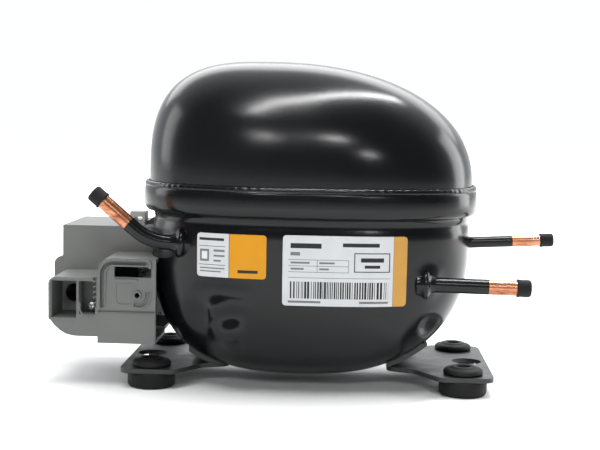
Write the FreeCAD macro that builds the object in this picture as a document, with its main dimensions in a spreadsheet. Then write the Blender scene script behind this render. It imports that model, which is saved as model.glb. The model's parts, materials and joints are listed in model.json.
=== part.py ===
"""Hermetic reciprocating compressor, as a parametric FreeCAD document.

Millimetres. +X runs from the electrical box towards the discharge tube, +Y away from the front, +Z up.
The origin is on the floor, at the middle of the four grommet axes.
"""
import FreeCAD, Part
import math
import os
import re
import Sketcher
from FreeCAD import Placement, Rotation, Vector

DOCUMENT = FreeCAD.newDocument("HermeticCompressor")
SHEET = DOCUMENT.addObject("Spreadsheet::Sheet", "Dimensions")

# ---------------------------------------------------------------------------------------------
# Driving dimensions
# ---------------------------------------------------------------------------------------------

DIMENSIONS = {
    # Base plates and grommets
    "base_spacing_long": 170.0,
    "base_spacing_short": 70.0,
    "plate_underside": 8.6,
    "plate_thickness": 2.5,
    "plate_outer_edge": 101.0,
    "plate_half_depth": 46.5,
    "plate_corner": 6.0,
    "plate_neck": 72.0,
    "plate_waist": 59.0,
    "plate_waist_half": 27.0,
    "plate_inner_edge": 44.0,
    "grommet_hole": 8.0,
    "spare_hole": 8.25,
    "spare_hole_offset": 90.0,
    "grommet_base": 13.0,
    "grommet_flange": 10.8,
    "grommet_bore": 3.6,
    "grommet_top": 15.6,
    "grommet_round": 2.0,
    "saddle_reach": 66.0,
    "saddle_half": 24.0,
    "saddle_top": 25.0,
    "saddle_thickness": 2.3,
    # Shells
    "shell_wall": 2.8,
    "bowl_left": 88.8,
    "bowl_right": 88.5,
    "bowl_half_depth": 65.0,
    "bowl_floor": 4.0,
    "bowl_shoulder": 80.0,
    "neck_height": 95.0,
    "ring_bottom": 98.0,
    "ring_top": 110.0,
    "ring_lap": 3.0,
    "lid_skirt_bottom": 99.0,
    "crown_base": 112.1,
    "crown_height": 66.6,
    "crown_peak": -22.8,
    "crown_left": 67.9,
    "crown_right": 112.0,
    "lid_half_depth": 66.0,
    "weld_height": 2.2,
    # Tubes and their caps
    "suction_outer": 4.05,
    "suction_inner": 3.25,
    "discharge_outer": 3.175,
    "discharge_inner": 2.47,
    "cap_wall": 0.9,
    "cap_clearance": 0.05,
    "collar_wall": 2.2,
    "process_bend": 26.0,
    # Labels
    "label_gap": 0.02,
    "label_thickness": 0.25,
    # Electrical parts
    "terminal_middle": 12.0,
    "terminal_height": 56.0,
    "terminal_radius": 16.0,
    "pin_radius": 1.6,
    "pin_circle": 7.0,
    "glass_radius": 3.2,
    "cover_left": -139.6,
    "cover_right": -82.0,
    "cover_front": -12.0,
    "cover_back": 46.0,
    "cover_bottom": 26.0,
    "cover_top": 85.0,
    "cover_wall": 2.0,
    "cover_gap": 0.4,
    "front_box_face": -45.0,
    # Pump: shaft, stator and cylinder
    "shaft_position": 6.0,
    "shaft_radius": 8.0,
    "running_clearance": 0.02,
    "crank_throw": 8.0,
    "crank_pin_radius": 7.0,
    "cylinder_height": 130.0,
    "rod_length": 42.0,
    "wrist_pin_radius": 3.2,
    "bore_radius": 11.5,
    "piston_length": 18.5,
    "piston_crown": 10.0,
    "plate_level": 99.0,
    "block_plate": 8.0,
    "block_half_depth": 40.0,
    "hub_radius": 15.0,
    "hub_top": 113.6,
    "block_face": -54.5,
    "block_skirt": -18.0,
    "cylinder_half": 24.0,
    "stator_half_length": 46.0,
    "stator_half_depth": 43.0,
    "stator_corner": 8.0,
    "stator_bottom": 50.0,
    "stator_top": 88.0,
    "stator_bore": 28.0,
    "air_gap": 0.3,
    "slot_count": 24.0,
    "slot_inner": 30.5,
    "slot_outer": 41.0,
    "slot_width": 4.0,
    "slot_mouth": 2.0,
    "winding_outer": 42.0,
    "screw_offset_long": 40.0,
    "screw_offset_short": 33.0,
    "stator_screw": 2.5,
    "screw_head": 4.2,
    # Valve stack, from the block's face outwards
    "valve_gasket": 0.6,
    "valve_plate": 3.0,
    "head_gasket": 0.6,
    "head_depth": 14.8,
    "head_screw": 2.5,
    "head_screw_offset": 18.0,
    "reed_thickness": 0.3,
    # Suspension
    "spring_wire": 0.8,
    "spring_radius": 5.8,
    "spring_foot": 32.0,
    "spring_head": 48.5,
}


def fill_sheet():
    """Write every driving dimension to the sheet, with its alias."""
    for row, (alias, number) in enumerate(DIMENSIONS.items(), start=1):
        SHEET.set("A%d" % row, alias)
        SHEET.set("B%d" % row, str(number))
        SHEET.setAlias("B%d" % row, alias)
    DOCUMENT.recompute()


fill_sheet()


def size(alias):
    """Value of one driving dimension, read from the sheet."""
    return float(SHEET.get(alias))


def formula(text):
    """Expression text with each alias pointed at the sheet."""
    def address(match):
        word = match.group(0)
        return "Dimensions." + word if word in DIMENSIONS else word
    return re.sub(r"[a-z_]+", address, str(text))


def bind(item, **expressions):
    """Bind properties to expressions; a double underscore stands for a dot."""
    for name, text in expressions.items():
        item.setExpression(name.replace("__", "."), formula(text))
    return item


def at(item, point):
    """Bind the three coordinates of an object's place."""
    for letter, text in zip("xyz", point):
        item.setExpression("Placement.Base." + letter, formula(text))
    return item


# ---------------------------------------------------------------------------------------------
# Primitives and booleans
# ---------------------------------------------------------------------------------------------

TURN_TO_AXIS = {
    "X": Rotation(Vector(0, 1, 0), 90),
    "Y": Rotation(Vector(1, 0, 0), -90),
    "Z": Rotation(),
}


def cylinder(name, radius, length, start, axis="Z"):
    """Cylinder that runs from its start point along an axis."""
    item = DOCUMENT.addObject("Part::Cylinder", name)
    item.Placement = Placement(Vector(), TURN_TO_AXIS[axis])
    bind(item, Radius=radius, Height=length)
    return at(item, start)


def block(name, low, high):
    """Box between two corners, each three expressions."""
    item = DOCUMENT.addObject("Part::Box", name)
    spans = ["(%s) - (%s)" % pair for pair in zip(high, low)]
    bind(item, Length=spans[0], Width=spans[1], Height=spans[2])
    return at(item, low)


def fuse(name, *items):
    """One solid out of several."""
    item = DOCUMENT.addObject("Part::MultiFuse", name)
    item.Shapes = list(items)
    item.Refine = False
    return item


def cut(name, base, *tools):
    """Base without its tools."""
    item = DOCUMENT.addObject("Part::Cut", name)
    item.Base = base
    item.Tool = tools[0] if len(tools) == 1 else fuse(name + "Tools", *tools)
    return item


def common(name, first, second):
    """What two objects share."""
    item = DOCUMENT.addObject("Part::Common", name)
    item.Base = first
    item.Tool = second
    return item


def group(name, *items):
    """Separate equal solids kept together as one sub-part."""
    item = DOCUMENT.addObject("Part::Compound", name)
    item.Links = list(items)
    return item


def feature(name, shape):
    """Sub-part whose shape is worked out by a function."""
    item = DOCUMENT.addObject("Part::Feature", name)
    item.Shape = shape
    item.Placement = Placement()
    return item


NODES = []


def node(label, item):
    """Name a finished sub-part."""
    item.Label = label
    NODES.append(item)
    return item


# ---------------------------------------------------------------------------------------------
# Sketched bodies
# ---------------------------------------------------------------------------------------------

def origin_plane(body, role):
    """Origin plane of a body, such as XY_Plane."""
    return next(plane for plane in body.Origin.OriginFeatures if plane.Role == role)


def polygon_sketch(body, name, role, corners):
    """Closed polygon on an origin plane, each corner held by two bound distances."""
    sketch = body.newObject("Sketcher::SketchObject", name)
    sketch.AttachmentSupport = [(origin_plane(body, role), "")]
    sketch.MapMode = "FlatFace"
    count = len(corners)
    start_guess = [Vector(*(number(part) for part in corner), 0) for corner in corners]
    for index in range(count):
        line = Part.LineSegment(start_guess[index], start_guess[(index + 1) % count])
        sketch.addGeometry(line, False)
    for index in range(count):
        sketch.addConstraint(Sketcher.Constraint("Coincident", index, 2, (index + 1) % count, 1))
    for index, corner in enumerate(corners):
        for kind, part in zip(("DistanceX", "DistanceY"), corner):
            place = number(part)
            held = sketch.addConstraint(Sketcher.Constraint(kind, -1, 1, index, 1, place))
            sketch.setExpression("Constraints[%d]" % held, formula(part))
    return sketch


def circle_sketch(body, name, role, circles):
    """Circles on an origin plane: centre X, centre Y and radius of each, all bound."""
    sketch = body.newObject("Sketcher::SketchObject", name)
    sketch.AttachmentSupport = [(origin_plane(body, role), "")]
    sketch.MapMode = "FlatFace"
    for index, (across, up, radius) in enumerate(circles):
        centre = Vector(number(across), number(up), 0)
        sketch.addGeometry(Part.Circle(centre, Vector(0, 0, 1), number(radius)), False)
        held = sketch.addConstraint(Sketcher.Constraint("Radius", index, number(radius)))
        sketch.setExpression("Constraints[%d]" % held, formula(radius))
        for kind, part in (("DistanceX", across), ("DistanceY", up)):
            held = sketch.addConstraint(Sketcher.Constraint(kind, -1, 1, index, 3, number(part)))
            sketch.setExpression("Constraints[%d]" % held, formula(part))
    return sketch


def number(text):
    """Value of a short expression made of aliases, plain numbers, + - * / and brackets."""
    return float(SHEET.evalExpression(formula(text)))


def pad(body, name, sketch, length, start="0"):
    """Pad a sketch upwards from a height above its plane."""
    item = body.newObject("PartDesign::Pad", name)
    item.Profile = sketch
    item.setExpression("Length", formula(length))
    sketch.setExpression("AttachmentOffset.Base.z", formula(start))
    sketch.Visibility = False
    return item


def pocket(body, name, sketch, length, start="0"):
    """Pocket a sketch upwards from a height above its plane."""
    item = body.newObject("PartDesign::Pocket", name)
    item.Profile = sketch
    item.Reversed = True
    item.setExpression("Length", formula(length))
    sketch.setExpression("AttachmentOffset.Base.z", formula(start))
    return item


def revolve(body, name, sketch):
    """Turn a sketch all round its vertical axis."""
    item = body.newObject("PartDesign::Revolution", name)
    item.Profile = sketch
    item.ReferenceAxis = (sketch, ["V_Axis"])
    item.Angle = 360.0
    return item


def round_vertical_edges(body, name, radius, base):
    """Fillet the vertical edges of a pad."""
    DOCUMENT.recompute()
    names = []
    for index, edge in enumerate(base.Shape.Edges, start=1):
        ends = [vertex.Point for vertex in edge.Vertexes]
        if len(ends) == 2 and abs(ends[0].x - ends[1].x) + abs(ends[0].y - ends[1].y) < 1e-6:
            names.append("Edge%d" % index)
    item = body.newObject("PartDesign::Fillet", name)
    item.Base = (base, names)
    item.setExpression("Radius", formula(radius))
    return item


# ---------------------------------------------------------------------------------------------
# Shell outlines: superellipses whose ends move with height
# ---------------------------------------------------------------------------------------------

PLAN_EXPONENT = 2.6
OUTLINE_POINTS = 40


def outline(left, right, half_depth, height):
    """Closed superellipse outline at one height."""
    centre = (left + right) / 2.0
    half_length = (right - left) / 2.0
    points = []
    for step in range(OUTLINE_POINTS):
        angle = 2.0 * math.pi * step / OUTLINE_POINTS
        across = math.copysign(abs(math.cos(angle)) ** (2.0 / PLAN_EXPONENT), math.cos(angle))
        along = math.copysign(abs(math.sin(angle)) ** (2.0 / PLAN_EXPONENT), math.sin(angle))
        points.append(Vector(centre + half_length * across, half_depth * along, height))
    curve = Part.BSplineCurve()
    curve.interpolate(Points=points, PeriodicFlag=True)
    return Part.Wire([curve.toShape()])


def shrink(share, exponent):
    """How much of its full extent a superellipse keeps at a share of its height."""
    return max(0.0, 1.0 - share ** exponent) ** (1.0 / exponent)


def bowl_outline(height, growth):
    """Outline of the lower shell at one height; growth offsets it outwards."""
    depth = size("bowl_shoulder") - size("bowl_floor") + growth
    share = max(0.0, (size("bowl_shoulder") - height) / depth)
    left = -(size("bowl_left") + growth) * shrink(share, 2.9)
    right = (size("bowl_right") + growth) * shrink(share, 2.3)
    half_depth = (size("bowl_half_depth") + growth) * shrink(share, 2.5)
    return outline(left, right, half_depth, height)


def bowl_solid(growth, top):
    """Solid inside the lower shell's wall, offset by growth, up to a height."""
    depth = size("bowl_shoulder") - size("bowl_floor") + growth
    steps = 12
    first_angle = 0.126
    wires = []
    for step in range(steps + 1):
        angle = first_angle + (math.pi / 2.0 - first_angle) * step / steps
        wires.append(bowl_outline(size("bowl_shoulder") - depth * math.cos(angle), growth))
    for share in (0.33, 0.66, 1.0):
        height = size("bowl_shoulder") + (top - size("bowl_shoulder")) * share
        wires.append(bowl_outline(height, growth))
    return Part.makeLoft(wires, True, False)


def ring_outline(height, growth):
    """Outline of the lid's skirt at one height, offset outwards by growth."""
    left = size("crown_peak") - size("crown_left") - growth
    right = size("crown_peak") + size("crown_right") + growth
    return outline(left, right, size("lid_half_depth") + growth, height)


def ring_solid(growth, bottom, top):
    """Straight-walled solid of the skirt's outline, offset by growth."""
    return Part.makeLoft([ring_outline(bottom, growth), ring_outline(top, growth)], True, True)


def crown_outline(share, growth):
    """Outline of the lid's crown at a share of its height."""
    left = size("crown_peak") - (size("crown_left") + growth) * shrink(share, 3.05)
    right = size("crown_peak") + (size("crown_right") + growth) * shrink(share, 2.2)
    half_depth = (size("lid_half_depth") + growth) * shrink(share, 2.4)
    height = size("crown_base") + (size("crown_height") + growth) * share
    return outline(left, right, half_depth, height)


def lid_solid(growth, bottom):
    """Solid of the lid's outside, offset by growth, from a height to its top."""
    steps = 13
    last_angle = math.radians(84.5)
    wires = []
    for share in (0.0, 0.35, 0.7):
        height = bottom + (size("crown_base") - bottom) * share
        wires.append(ring_outline(height, growth))
    for step in range(steps + 1):
        wires.append(crown_outline(math.sin(last_angle * step / steps), growth))
    return Part.makeLoft(wires, True, False)


def bowl_skin(inner_growth, outer_growth):
    """Skin that follows the outside of the lower shell between two offsets."""
    neck = size("neck_height")
    return bowl_solid(outer_growth, neck).cut(bowl_solid(inner_growth, neck))


BOWL_OUTSIDE = bowl_solid(0.0, size("neck_height"))
BOWL_INSIDE = bowl_solid(-size("shell_wall"), size("neck_height"))


def flare(low_wire, high_wire):
    """Straight flare between two outlines."""
    return Part.makeLoft([low_wire, high_wire], True, True)


def lower_shell_shape():
    """Bowl with an expanded rim that laps the lid's skirt, and holes for tubes and terminal."""
    neck = size("neck_height")
    bottom = size("ring_bottom")
    top = size("ring_top")
    lap = size("ring_lap")
    gap = size("running_clearance")
    outside = BOWL_OUTSIDE.fuse(flare(bowl_outline(neck, 0.0), ring_outline(bottom, lap)))
    outside = outside.fuse(ring_solid(lap, bottom, top))
    wall = -size("shell_wall")
    inside = BOWL_INSIDE.fuse(flare(bowl_outline(neck, wall), ring_outline(bottom, gap)))
    inside = inside.fuse(ring_solid(gap, bottom, top + 1.0))
    shell = outside.cut(inside)
    for tube in TUBES.values():
        shell = shell.cut(tube["hole"]).cut(tube["bar"])
    middle = Vector(-size("bowl_left") - 15.0, size("terminal_middle"), size("terminal_height"))
    port = Part.makeCylinder(size("terminal_radius"), 30.0, middle, Vector(1, 0, 0))
    return shell.cut(port)


def upper_shell_shape():
    """Domed lid, taller towards the electrical box."""
    bottom = size("lid_skirt_bottom")
    return lid_solid(0.0, bottom).cut(lid_solid(-size("shell_wall"), bottom - 1.0))


def seam_weld_shape():
    """Fillet weld that closes the lap between the rim and the lid."""
    top = size("ring_top")
    height = size("weld_height")
    lap = size("ring_lap")
    outside = flare(ring_outline(top, lap - 0.5), ring_outline(top + height * 0.6, lap * 0.62))
    upper = flare(ring_outline(top + height * 0.6, lap * 0.62), ring_outline(top + height, 0.5))
    inside = ring_solid(size("running_clearance"), top - 1.0, top + height + 1.0)
    return outside.fuse(upper).cut(inside)


# ---------------------------------------------------------------------------------------------
# Tubes
# ---------------------------------------------------------------------------------------------

def tube_path(points, bend):
    """Centre line of straight runs joined by tangent arcs of one radius."""
    edges = []
    here = points[0]
    for before, corner, after in zip(points, points[1:], points[2:]):
        incoming = (corner - before).normalize()
        outgoing = (after - corner).normalize()
        turn = incoming.getAngle(outgoing)
        reach = bend * math.tan(turn / 2.0)
        start = corner - incoming * reach
        end = corner + outgoing * reach
        inward = (outgoing - incoming).normalize()
        middle = corner + inward * (bend / math.cos(turn / 2.0) - bend)
        edges.append(Part.LineSegment(here, start).toShape())
        edges.append(Part.Arc(start, middle, end).toShape())
        here = end
    edges.append(Part.LineSegment(here, points[-1]).toShape())
    return Part.Wire(edges)


def rod_along(points, bend, radius):
    """Solid round bar along a bent centre line."""
    path = tube_path(points, bend)
    direction = (points[1] - points[0]).normalize()
    section = Part.Wire([Part.makeCircle(radius, points[0], direction)])
    return path.makePipeShell([section], True, False)


def hollow_along(points, bend, outer, inner):
    """Tube along a bent centre line."""
    return rod_along(points, bend, outer).cut(rod_along(points, bend, inner))


def part_at_bend(points, bend, tube):
    """Bent root and straight end of a bent tube, parted square where its bend stops."""
    corner = points[-2]
    outgoing = (points[-1] - corner).normalize()
    incoming = (corner - points[-3]).normalize()
    stop = corner + outgoing * (bend * math.tan(incoming.getAngle(outgoing) / 2.0))
    beyond = Part.makeCylinder(12.0, 60.0, stop, outgoing)
    return tube.cut(beyond), tube.common(beyond)


def tube_record(points, bend, outer, inner, root):
    """Everything that belongs to one stub tube: its solids, collar, hole and cap."""
    direction = (points[-1] - points[-2]).normalize()
    first = (points[1] - points[0]).normalize()
    collar_radius = outer + size("collar_wall")
    collar = Part.makeCylinder(collar_radius, 13.0, root - first * 6.5, first)
    cap_inner = outer + size("cap_clearance")
    cap_outer = cap_inner + size("cap_wall")
    mouth = points[-1] - direction * 6.6
    cap = Part.makeCylinder(cap_outer, 8.2, mouth, direction)
    cap = cap.makeFillet(0.7, [edge for edge in cap.Edges if edge.Closed])
    cap = cap.cut(Part.makeCylinder(cap_inner, 6.8, mouth - direction * 0.1, direction))
    tube = hollow_along(points, bend, outer, inner)
    stub = None
    if len(points) > 2:
        tube, stub = part_at_bend(points, bend, tube)
    return {
        "tube": tube,
        "stub": stub,
        "collar": collar.cut(rod_along(points, bend, outer)),
        "hole": collar,
        "bar": rod_along(points, bend, outer),
        "cap": cap,
    }


def make_tubes():
    """The three stub tubes that leave the lower shell."""
    suction_points = [Vector(52, -51.6, 62), Vector(116.5, -51.6, 61)]
    discharge_points = [Vector(74, -5, 79.0), Vector(134.6, -5, 82.3)]
    process_points = [
        Vector(-52, -46, 79.4),
        Vector(-84.2, -53.5, 81.4),
        Vector(-113.2, -53.5, 106.2),
    ]
    outer = size("suction_outer")
    inner = size("suction_inner")
    small_outer = size("discharge_outer")
    small_inner = size("discharge_inner")
    bend = size("process_bend")
    return {
        "suction": tube_record(suction_points, bend, outer, inner, Vector(64, -51.6, 61.8)),
        "discharge": tube_record(discharge_points, bend, small_outer, small_inner,
                                 Vector(87, -5, 79.7)),
        "process": tube_record(process_points, bend, outer, inner, Vector(-66, -49.3, 80.3)),
    }


TUBES = make_tubes()


def build_tubes():
    """Stub tubes, their brazed collars and their rubber caps."""
    for name, tube in TUBES.items():
        outside_collar = tube["collar"].cut(bowl_solid(-4.5, size("neck_height")))
        node(name + "_tube", feature(name.title() + "Tube", tube["tube"]))
        if tube["stub"]:
            node(name + "_stub", feature(name.title() + "Stub", tube["stub"]))
        node(name + "_collar", feature(name.title() + "Collar", outside_collar))
        node(name + "_cap", feature(name.title() + "Cap", tube["cap"]))


# ---------------------------------------------------------------------------------------------
# Shells, base plates, grommets, labels
# ---------------------------------------------------------------------------------------------

def build_shells():
    """The welded steel envelope."""
    node("lower_shell", feature("LowerShell", lower_shell_shape()))
    node("upper_shell", feature("UpperShell", upper_shell_shape()))
    node("seam_weld", feature("SeamWeld", seam_weld_shape()))


def foot_plate(label, side):
    """Stamped plate with two grommet holes, a spare hole and a saddle up the bowl's wall."""
    body = DOCUMENT.addObject("PartDesign::Body", label.title().replace("_", "") + "Body")
    half = [
        ("plate_outer_edge", "plate_half_depth"),
        ("plate_neck", "plate_half_depth"),
        ("plate_waist", "plate_waist_half"),
        ("plate_inner_edge", "plate_waist_half - 6"),
    ]
    back = [("%d * %s" % (side, across), along) for across, along in half]
    front = [(across, "-(%s)" % along) for across, along in reversed(back)]
    sketch = polygon_sketch(body, label + "_outline", "XY_Plane", back + front)
    plate = pad(body, label + "_pad", sketch, "plate_thickness", "plate_underside")
    fillet = round_vertical_edges(body, label + "_corners", "plate_corner", plate)
    body.Tip = fillet
    across = "%d * base_spacing_long / 2" % side
    holes = [
        (across, "base_spacing_short / 2", "grommet_hole"),
        (across, "-base_spacing_short / 2", "grommet_hole"),
        ("%d * spare_hole_offset" % side, "0", "spare_hole"),
    ]
    circles = circle_sketch(body, label + "_holes", "XY_Plane", holes)
    drilled = pocket(body, label + "_drilled", circles, "plate_thickness + 2",
                     "plate_underside - 1")
    body.Tip = drilled
    DOCUMENT.recompute()
    ends = sorted((side * size("saddle_reach"), side * size("plate_inner_edge")))
    base = size("plate_underside") + size("plate_thickness")
    half = size("saddle_half")
    window = Part.makeBox(ends[1] - ends[0], 2 * half, size("saddle_top") - base,
                          Vector(ends[0], -half, base))
    saddle = SADDLE_SKIN.common(window)
    node(label, feature(label + "_seated", body.Shape.cut(BOWL_OUTSIDE).fuse(saddle)))


def build_foot_plates():
    """Both plates; the saddle is a skin that follows the bowl."""
    foot_plate("foot_plate_left", -1)
    foot_plate("foot_plate_right", 1)


def grommet(label, side, end):
    """Rubber bush: wide base, waist in the plate's hole, rounded top flange, clear bore."""
    body = DOCUMENT.addObject("PartDesign::Body", label.title().replace("_", ""))
    top = "grommet_top"
    plate_top = "plate_underside + plate_thickness"
    profile = [
        ("grommet_bore", "0"),
        ("grommet_base - grommet_round", "0"),
        ("grommet_base", "grommet_round"),
        ("grommet_base", "plate_underside"),
        ("grommet_hole", "plate_underside"),
        ("grommet_hole", plate_top),
        ("grommet_flange", plate_top),
        ("grommet_flange", top + " - grommet_round"),
        ("grommet_flange - grommet_round", top),
        ("grommet_bore", top),
    ]
    sketch = polygon_sketch(body, label + "_profile", "XZ_Plane", profile)
    body.Tip = revolve(body, label + "_turned", sketch)
    at(body, ("%d * base_spacing_long / 2" % side, "%d * base_spacing_short / 2" % end, "0"))
    node(label, body)


def build_grommets():
    """Four equal rubber grommets."""
    for side_name, side in (("left", -1), ("right", 1)):
        for end_name, end in (("front", -1), ("rear", 1)):
            grommet("grommet_%s_%s" % (end_name, side_name), side, end)


def label_patch(name, left, right, bottom, top):
    """Thin label that lies on the front wall of the bowl."""
    gap = size("label_gap")
    skin = bowl_skin(gap, gap + size("label_thickness"))
    window = Part.makeBox(right - left, 60.0, top - bottom, Vector(left, -80.0, bottom))
    node(name, feature(name.title().replace("_", ""), skin.common(window)))


def build_labels():
    """Large rating label and small safety label."""
    label_patch("rating_label", -12.5, 52.0, 50.5, 87.5)
    label_patch("safety_label", -58.0, -21.0, 64.0, 87.0)


# ---------------------------------------------------------------------------------------------
# Electrical side
# ---------------------------------------------------------------------------------------------

PIN_ANGLES = (90.0, 210.0, 330.0)


def pin_place(angle, start):
    """Place of one terminal pin on its circle."""
    turn = "%s * 1 deg" % angle
    across = "terminal_middle + pin_circle * cos(%s)" % turn
    up = "terminal_height + pin_circle * sin(%s)" % turn
    return (start, across, up)


def pin_set(name, radius, start, length):
    """Three equal cylinders on the pin circle."""
    pins = [
        cylinder("%s%d" % (name, index), radius, length, pin_place(angle, start), "X")
        for index, angle in enumerate(PIN_ANGLES)
    ]
    return pins


def build_terminal():
    """Steel cup welded in the wall, glass beads, pins and the inner lead plug."""
    middle = ("terminal_middle", "terminal_height")
    cup = cylinder("Cup", "terminal_radius", "10", ("-92",) + middle, "X")
    hollow = cylinder("CupHollow", "terminal_radius - 2", "9", ("-90",) + middle, "X")
    holes = pin_set("GlassHole", "glass_radius", "-93", "4")
    node("hermetic_terminal", cut("HermeticTerminal", cup, hollow, *holes))

    beads = pin_set("Bead", "glass_radius", "-93", "4")
    bead_holes = pin_set("BeadHole", "pin_radius", "-94", "6")
    glass = [
        cut("GlassBead%d" % index, bead, hole)
        for index, (bead, hole) in enumerate(zip(beads, bead_holes))
    ]
    node("terminal_glass", group("TerminalGlass", *glass))
    node("terminal_pins", group("TerminalPins", *pin_set("Pin", "pin_radius", "-104", "28")))

    plug = block("PlugBody", ("-79", "terminal_middle - 10", "terminal_height - 9"),
                 ("-70", "terminal_middle + 10", "terminal_height + 12"))
    sockets = pin_set("PlugSocket", "pin_radius", "-80", "4")
    node("lead_plug", cut("LeadPlug", plug, *sockets))


def build_motor_leads():
    """Three insulated leads from the plug to the stator's top end turns."""
    middle = size("terminal_middle")
    height = size("terminal_height")
    winding_edge = size("shaft_position") - size("winding_outer")
    leads = []
    for offset in (-6.0, 0.0, 6.0):
        across = middle + offset
        end_across = across * 0.5
        edge = size("shaft_position") - math.sqrt(size("winding_outer") ** 2 - end_across ** 2)
        points = [
            Vector(-69.9, across, height),
            Vector(-56.0, across, height),
            Vector(-51.0, (across + end_across) / 2.0, size("stator_top") + 4.5),
            Vector(min(edge, winding_edge) - 0.1, end_across, size("stator_top") + 4.5),
        ]
        leads.append(feature("Lead%d" % len(leads), rod_along(points, 3.0, 1.0)))
    node("motor_leads", group("MotorLeads", *leads))


def build_terminal_fence():
    """Steel fence welded round the terminal, and its earth screw."""
    outer = block("FenceOuter", ("-97", "cover_front + 2.6", "34.6"),
                  ("-70", "cover_back - 2.6", "cover_top - 2.6"))
    inner = block("FenceInner", ("-98", "cover_front + 3.8", "35.8"),
                  ("-69", "cover_back - 3.8", "cover_top - 3.8"))
    screw_hole = cylinder("EarthHole", "1.6", "4", ("-92", "cover_back - 5", "76"), "Y")
    node("terminal_fence", cut("TerminalFence", outer, inner, screw_hole, BOWL_CORE))
    head = cylinder("EarthHead", "3", "2.5", ("-92", "cover_back - 6.3", "76"), "Y")
    shank = cylinder("EarthShank", "1.6", "1.2", ("-92", "cover_back - 3.8", "76"), "Y")
    node("earth_screw", fuse("EarthScrew", head, shank))


def build_start_parts():
    """Start relay on two pins and overload protector on the third."""
    relay = block("RelayBody", ("-122", "-7.6", "44"), ("-94", "14.8", "72"))
    slot = block("RelaySlot", ("-123", "-2", "48"), ("-112", "9", "51"))
    relay_sockets = pin_set("RelaySocket", "pin_radius", "-105", "12")
    node("start_relay", cut("StartRelay", relay, slot, *relay_sockets[:2]))
    foot = block("OverloadFoot", ("-102", "15.5", "44.5"), ("-94", "40", "67.5"))
    disc = cylinder("OverloadDisc", "12", "14", ("-116", "28", "56"), "X")
    overload = fuse("OverloadBody", foot, disc)
    node("overload_protector", cut("OverloadProtector", overload, relay_sockets[2]))


def build_cover():
    """Plastic electrical cover: main box, wiring box and cable pocket, open to the shell."""
    wall = "cover_wall"
    main = block("CoverMain", ("cover_left", "cover_front", "cover_bottom"),
                 ("cover_right", "cover_back", "cover_top"))
    bulge = block("CoverBulge", ("cover_left - 5.4", "cover_front + 2", "50"),
                  ("cover_left + 1", "cover_back - 2", "67"))
    wiring = block("WiringBox", ("-113", "front_box_face", "24.5"),
                   ("-81.5", "cover_front + 1", "70.5"))
    pocket_box = block("PocketBox", ("cover_left", "front_box_face", "28"),
                       ("-112", "cover_front + 1", "60"))
    outside = fuse("CoverOutside", main, bulge, wiring, pocket_box)

    main_space = block("MainSpace", ("cover_left + " + wall, "cover_front + " + wall, "28"),
                       ("-60", "cover_back - " + wall, "cover_top - " + wall))
    wiring_space = block("WiringSpace", ("-111", "front_box_face + 2.5", "26.5"),
                         ("-60", "cover_front + 3", "68.5"))
    cable_space = block("CableSpace", ("-138", "front_box_face - 1", "38"),
                        ("-124.5", "-20", "58"))
    cable_way = cylinder("CableWay", "5", "14", ("-131.2", "-21", "48"), "Y")
    clamp_bay = block("ClampBay", ("-123", "front_box_face - 1", "40"), ("-114.2", "-26", "58"))
    window = block("WiringWindow", ("-104", "front_box_face - 1", "60.6"),
                   ("-84", "front_box_face + 4", "66.3"))
    boss_hole = cylinder("BossHole", "1.4", "4", ("-91.4", "front_box_face - 1", "51"), "Y")
    screw_hole = cylinder("ClampScrewHole", "1.4", "20", ("-117.6", "-40", "43.8"), "Y")
    spaces = (main_space, wiring_space, cable_space, cable_way, clamp_bay, window, boss_hole,
              screw_hole)
    node("terminal_cover", cut("TerminalCover", outside, BOWL_CLEAR, *spaces))

    latch = block("LatchBody", ("-103.5", "-2", "cover_top"), ("-95", "10", "92.5"))
    latch_slot = block("LatchSlot", ("-101", "-3", "cover_top + 2"), ("-96.5", "11", "89.5"))
    node("cover_latch", cut("CoverLatch", latch, latch_slot))

    clamp = block("ClampPlate", ("-122.8", "-37", "40.2"), ("-114.4", "-35", "57.8"))
    clamp_hole = cylinder("ClampHole", "1.4", "4", ("-117.6", "-38", "43.8"), "Y")
    node("cable_clamp", cut("CableClamp", clamp, clamp_hole))
    head = cylinder("ClampHead", "2.6", "2.5", ("-117.6", "-39.5", "43.8"), "Y")
    shank = cylinder("ClampShank", "1.4", "16", ("-117.6", "-37", "43.8"), "Y")
    node("clamp_screw", fuse("ClampScrew", head, shank))


# ---------------------------------------------------------------------------------------------
# Motor
# ---------------------------------------------------------------------------------------------

CORNERS = ((-1, -1), (1, -1), (1, 1), (-1, 1))


def corner_place(corner, height):
    """Place over one of the four stator screws."""
    across = "shaft_position + %d * screw_offset_long" % corner[0]
    along = "%d * screw_offset_short" % corner[1]
    return (across, along, height)


def corner_set(name, radius, start, length):
    """Four equal upright cylinders on the stator screws' axes."""
    return [
        cylinder("%s%d" % (name, index), radius, length, corner_place(corner, start))
        for index, corner in enumerate(CORNERS)
    ]


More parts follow.
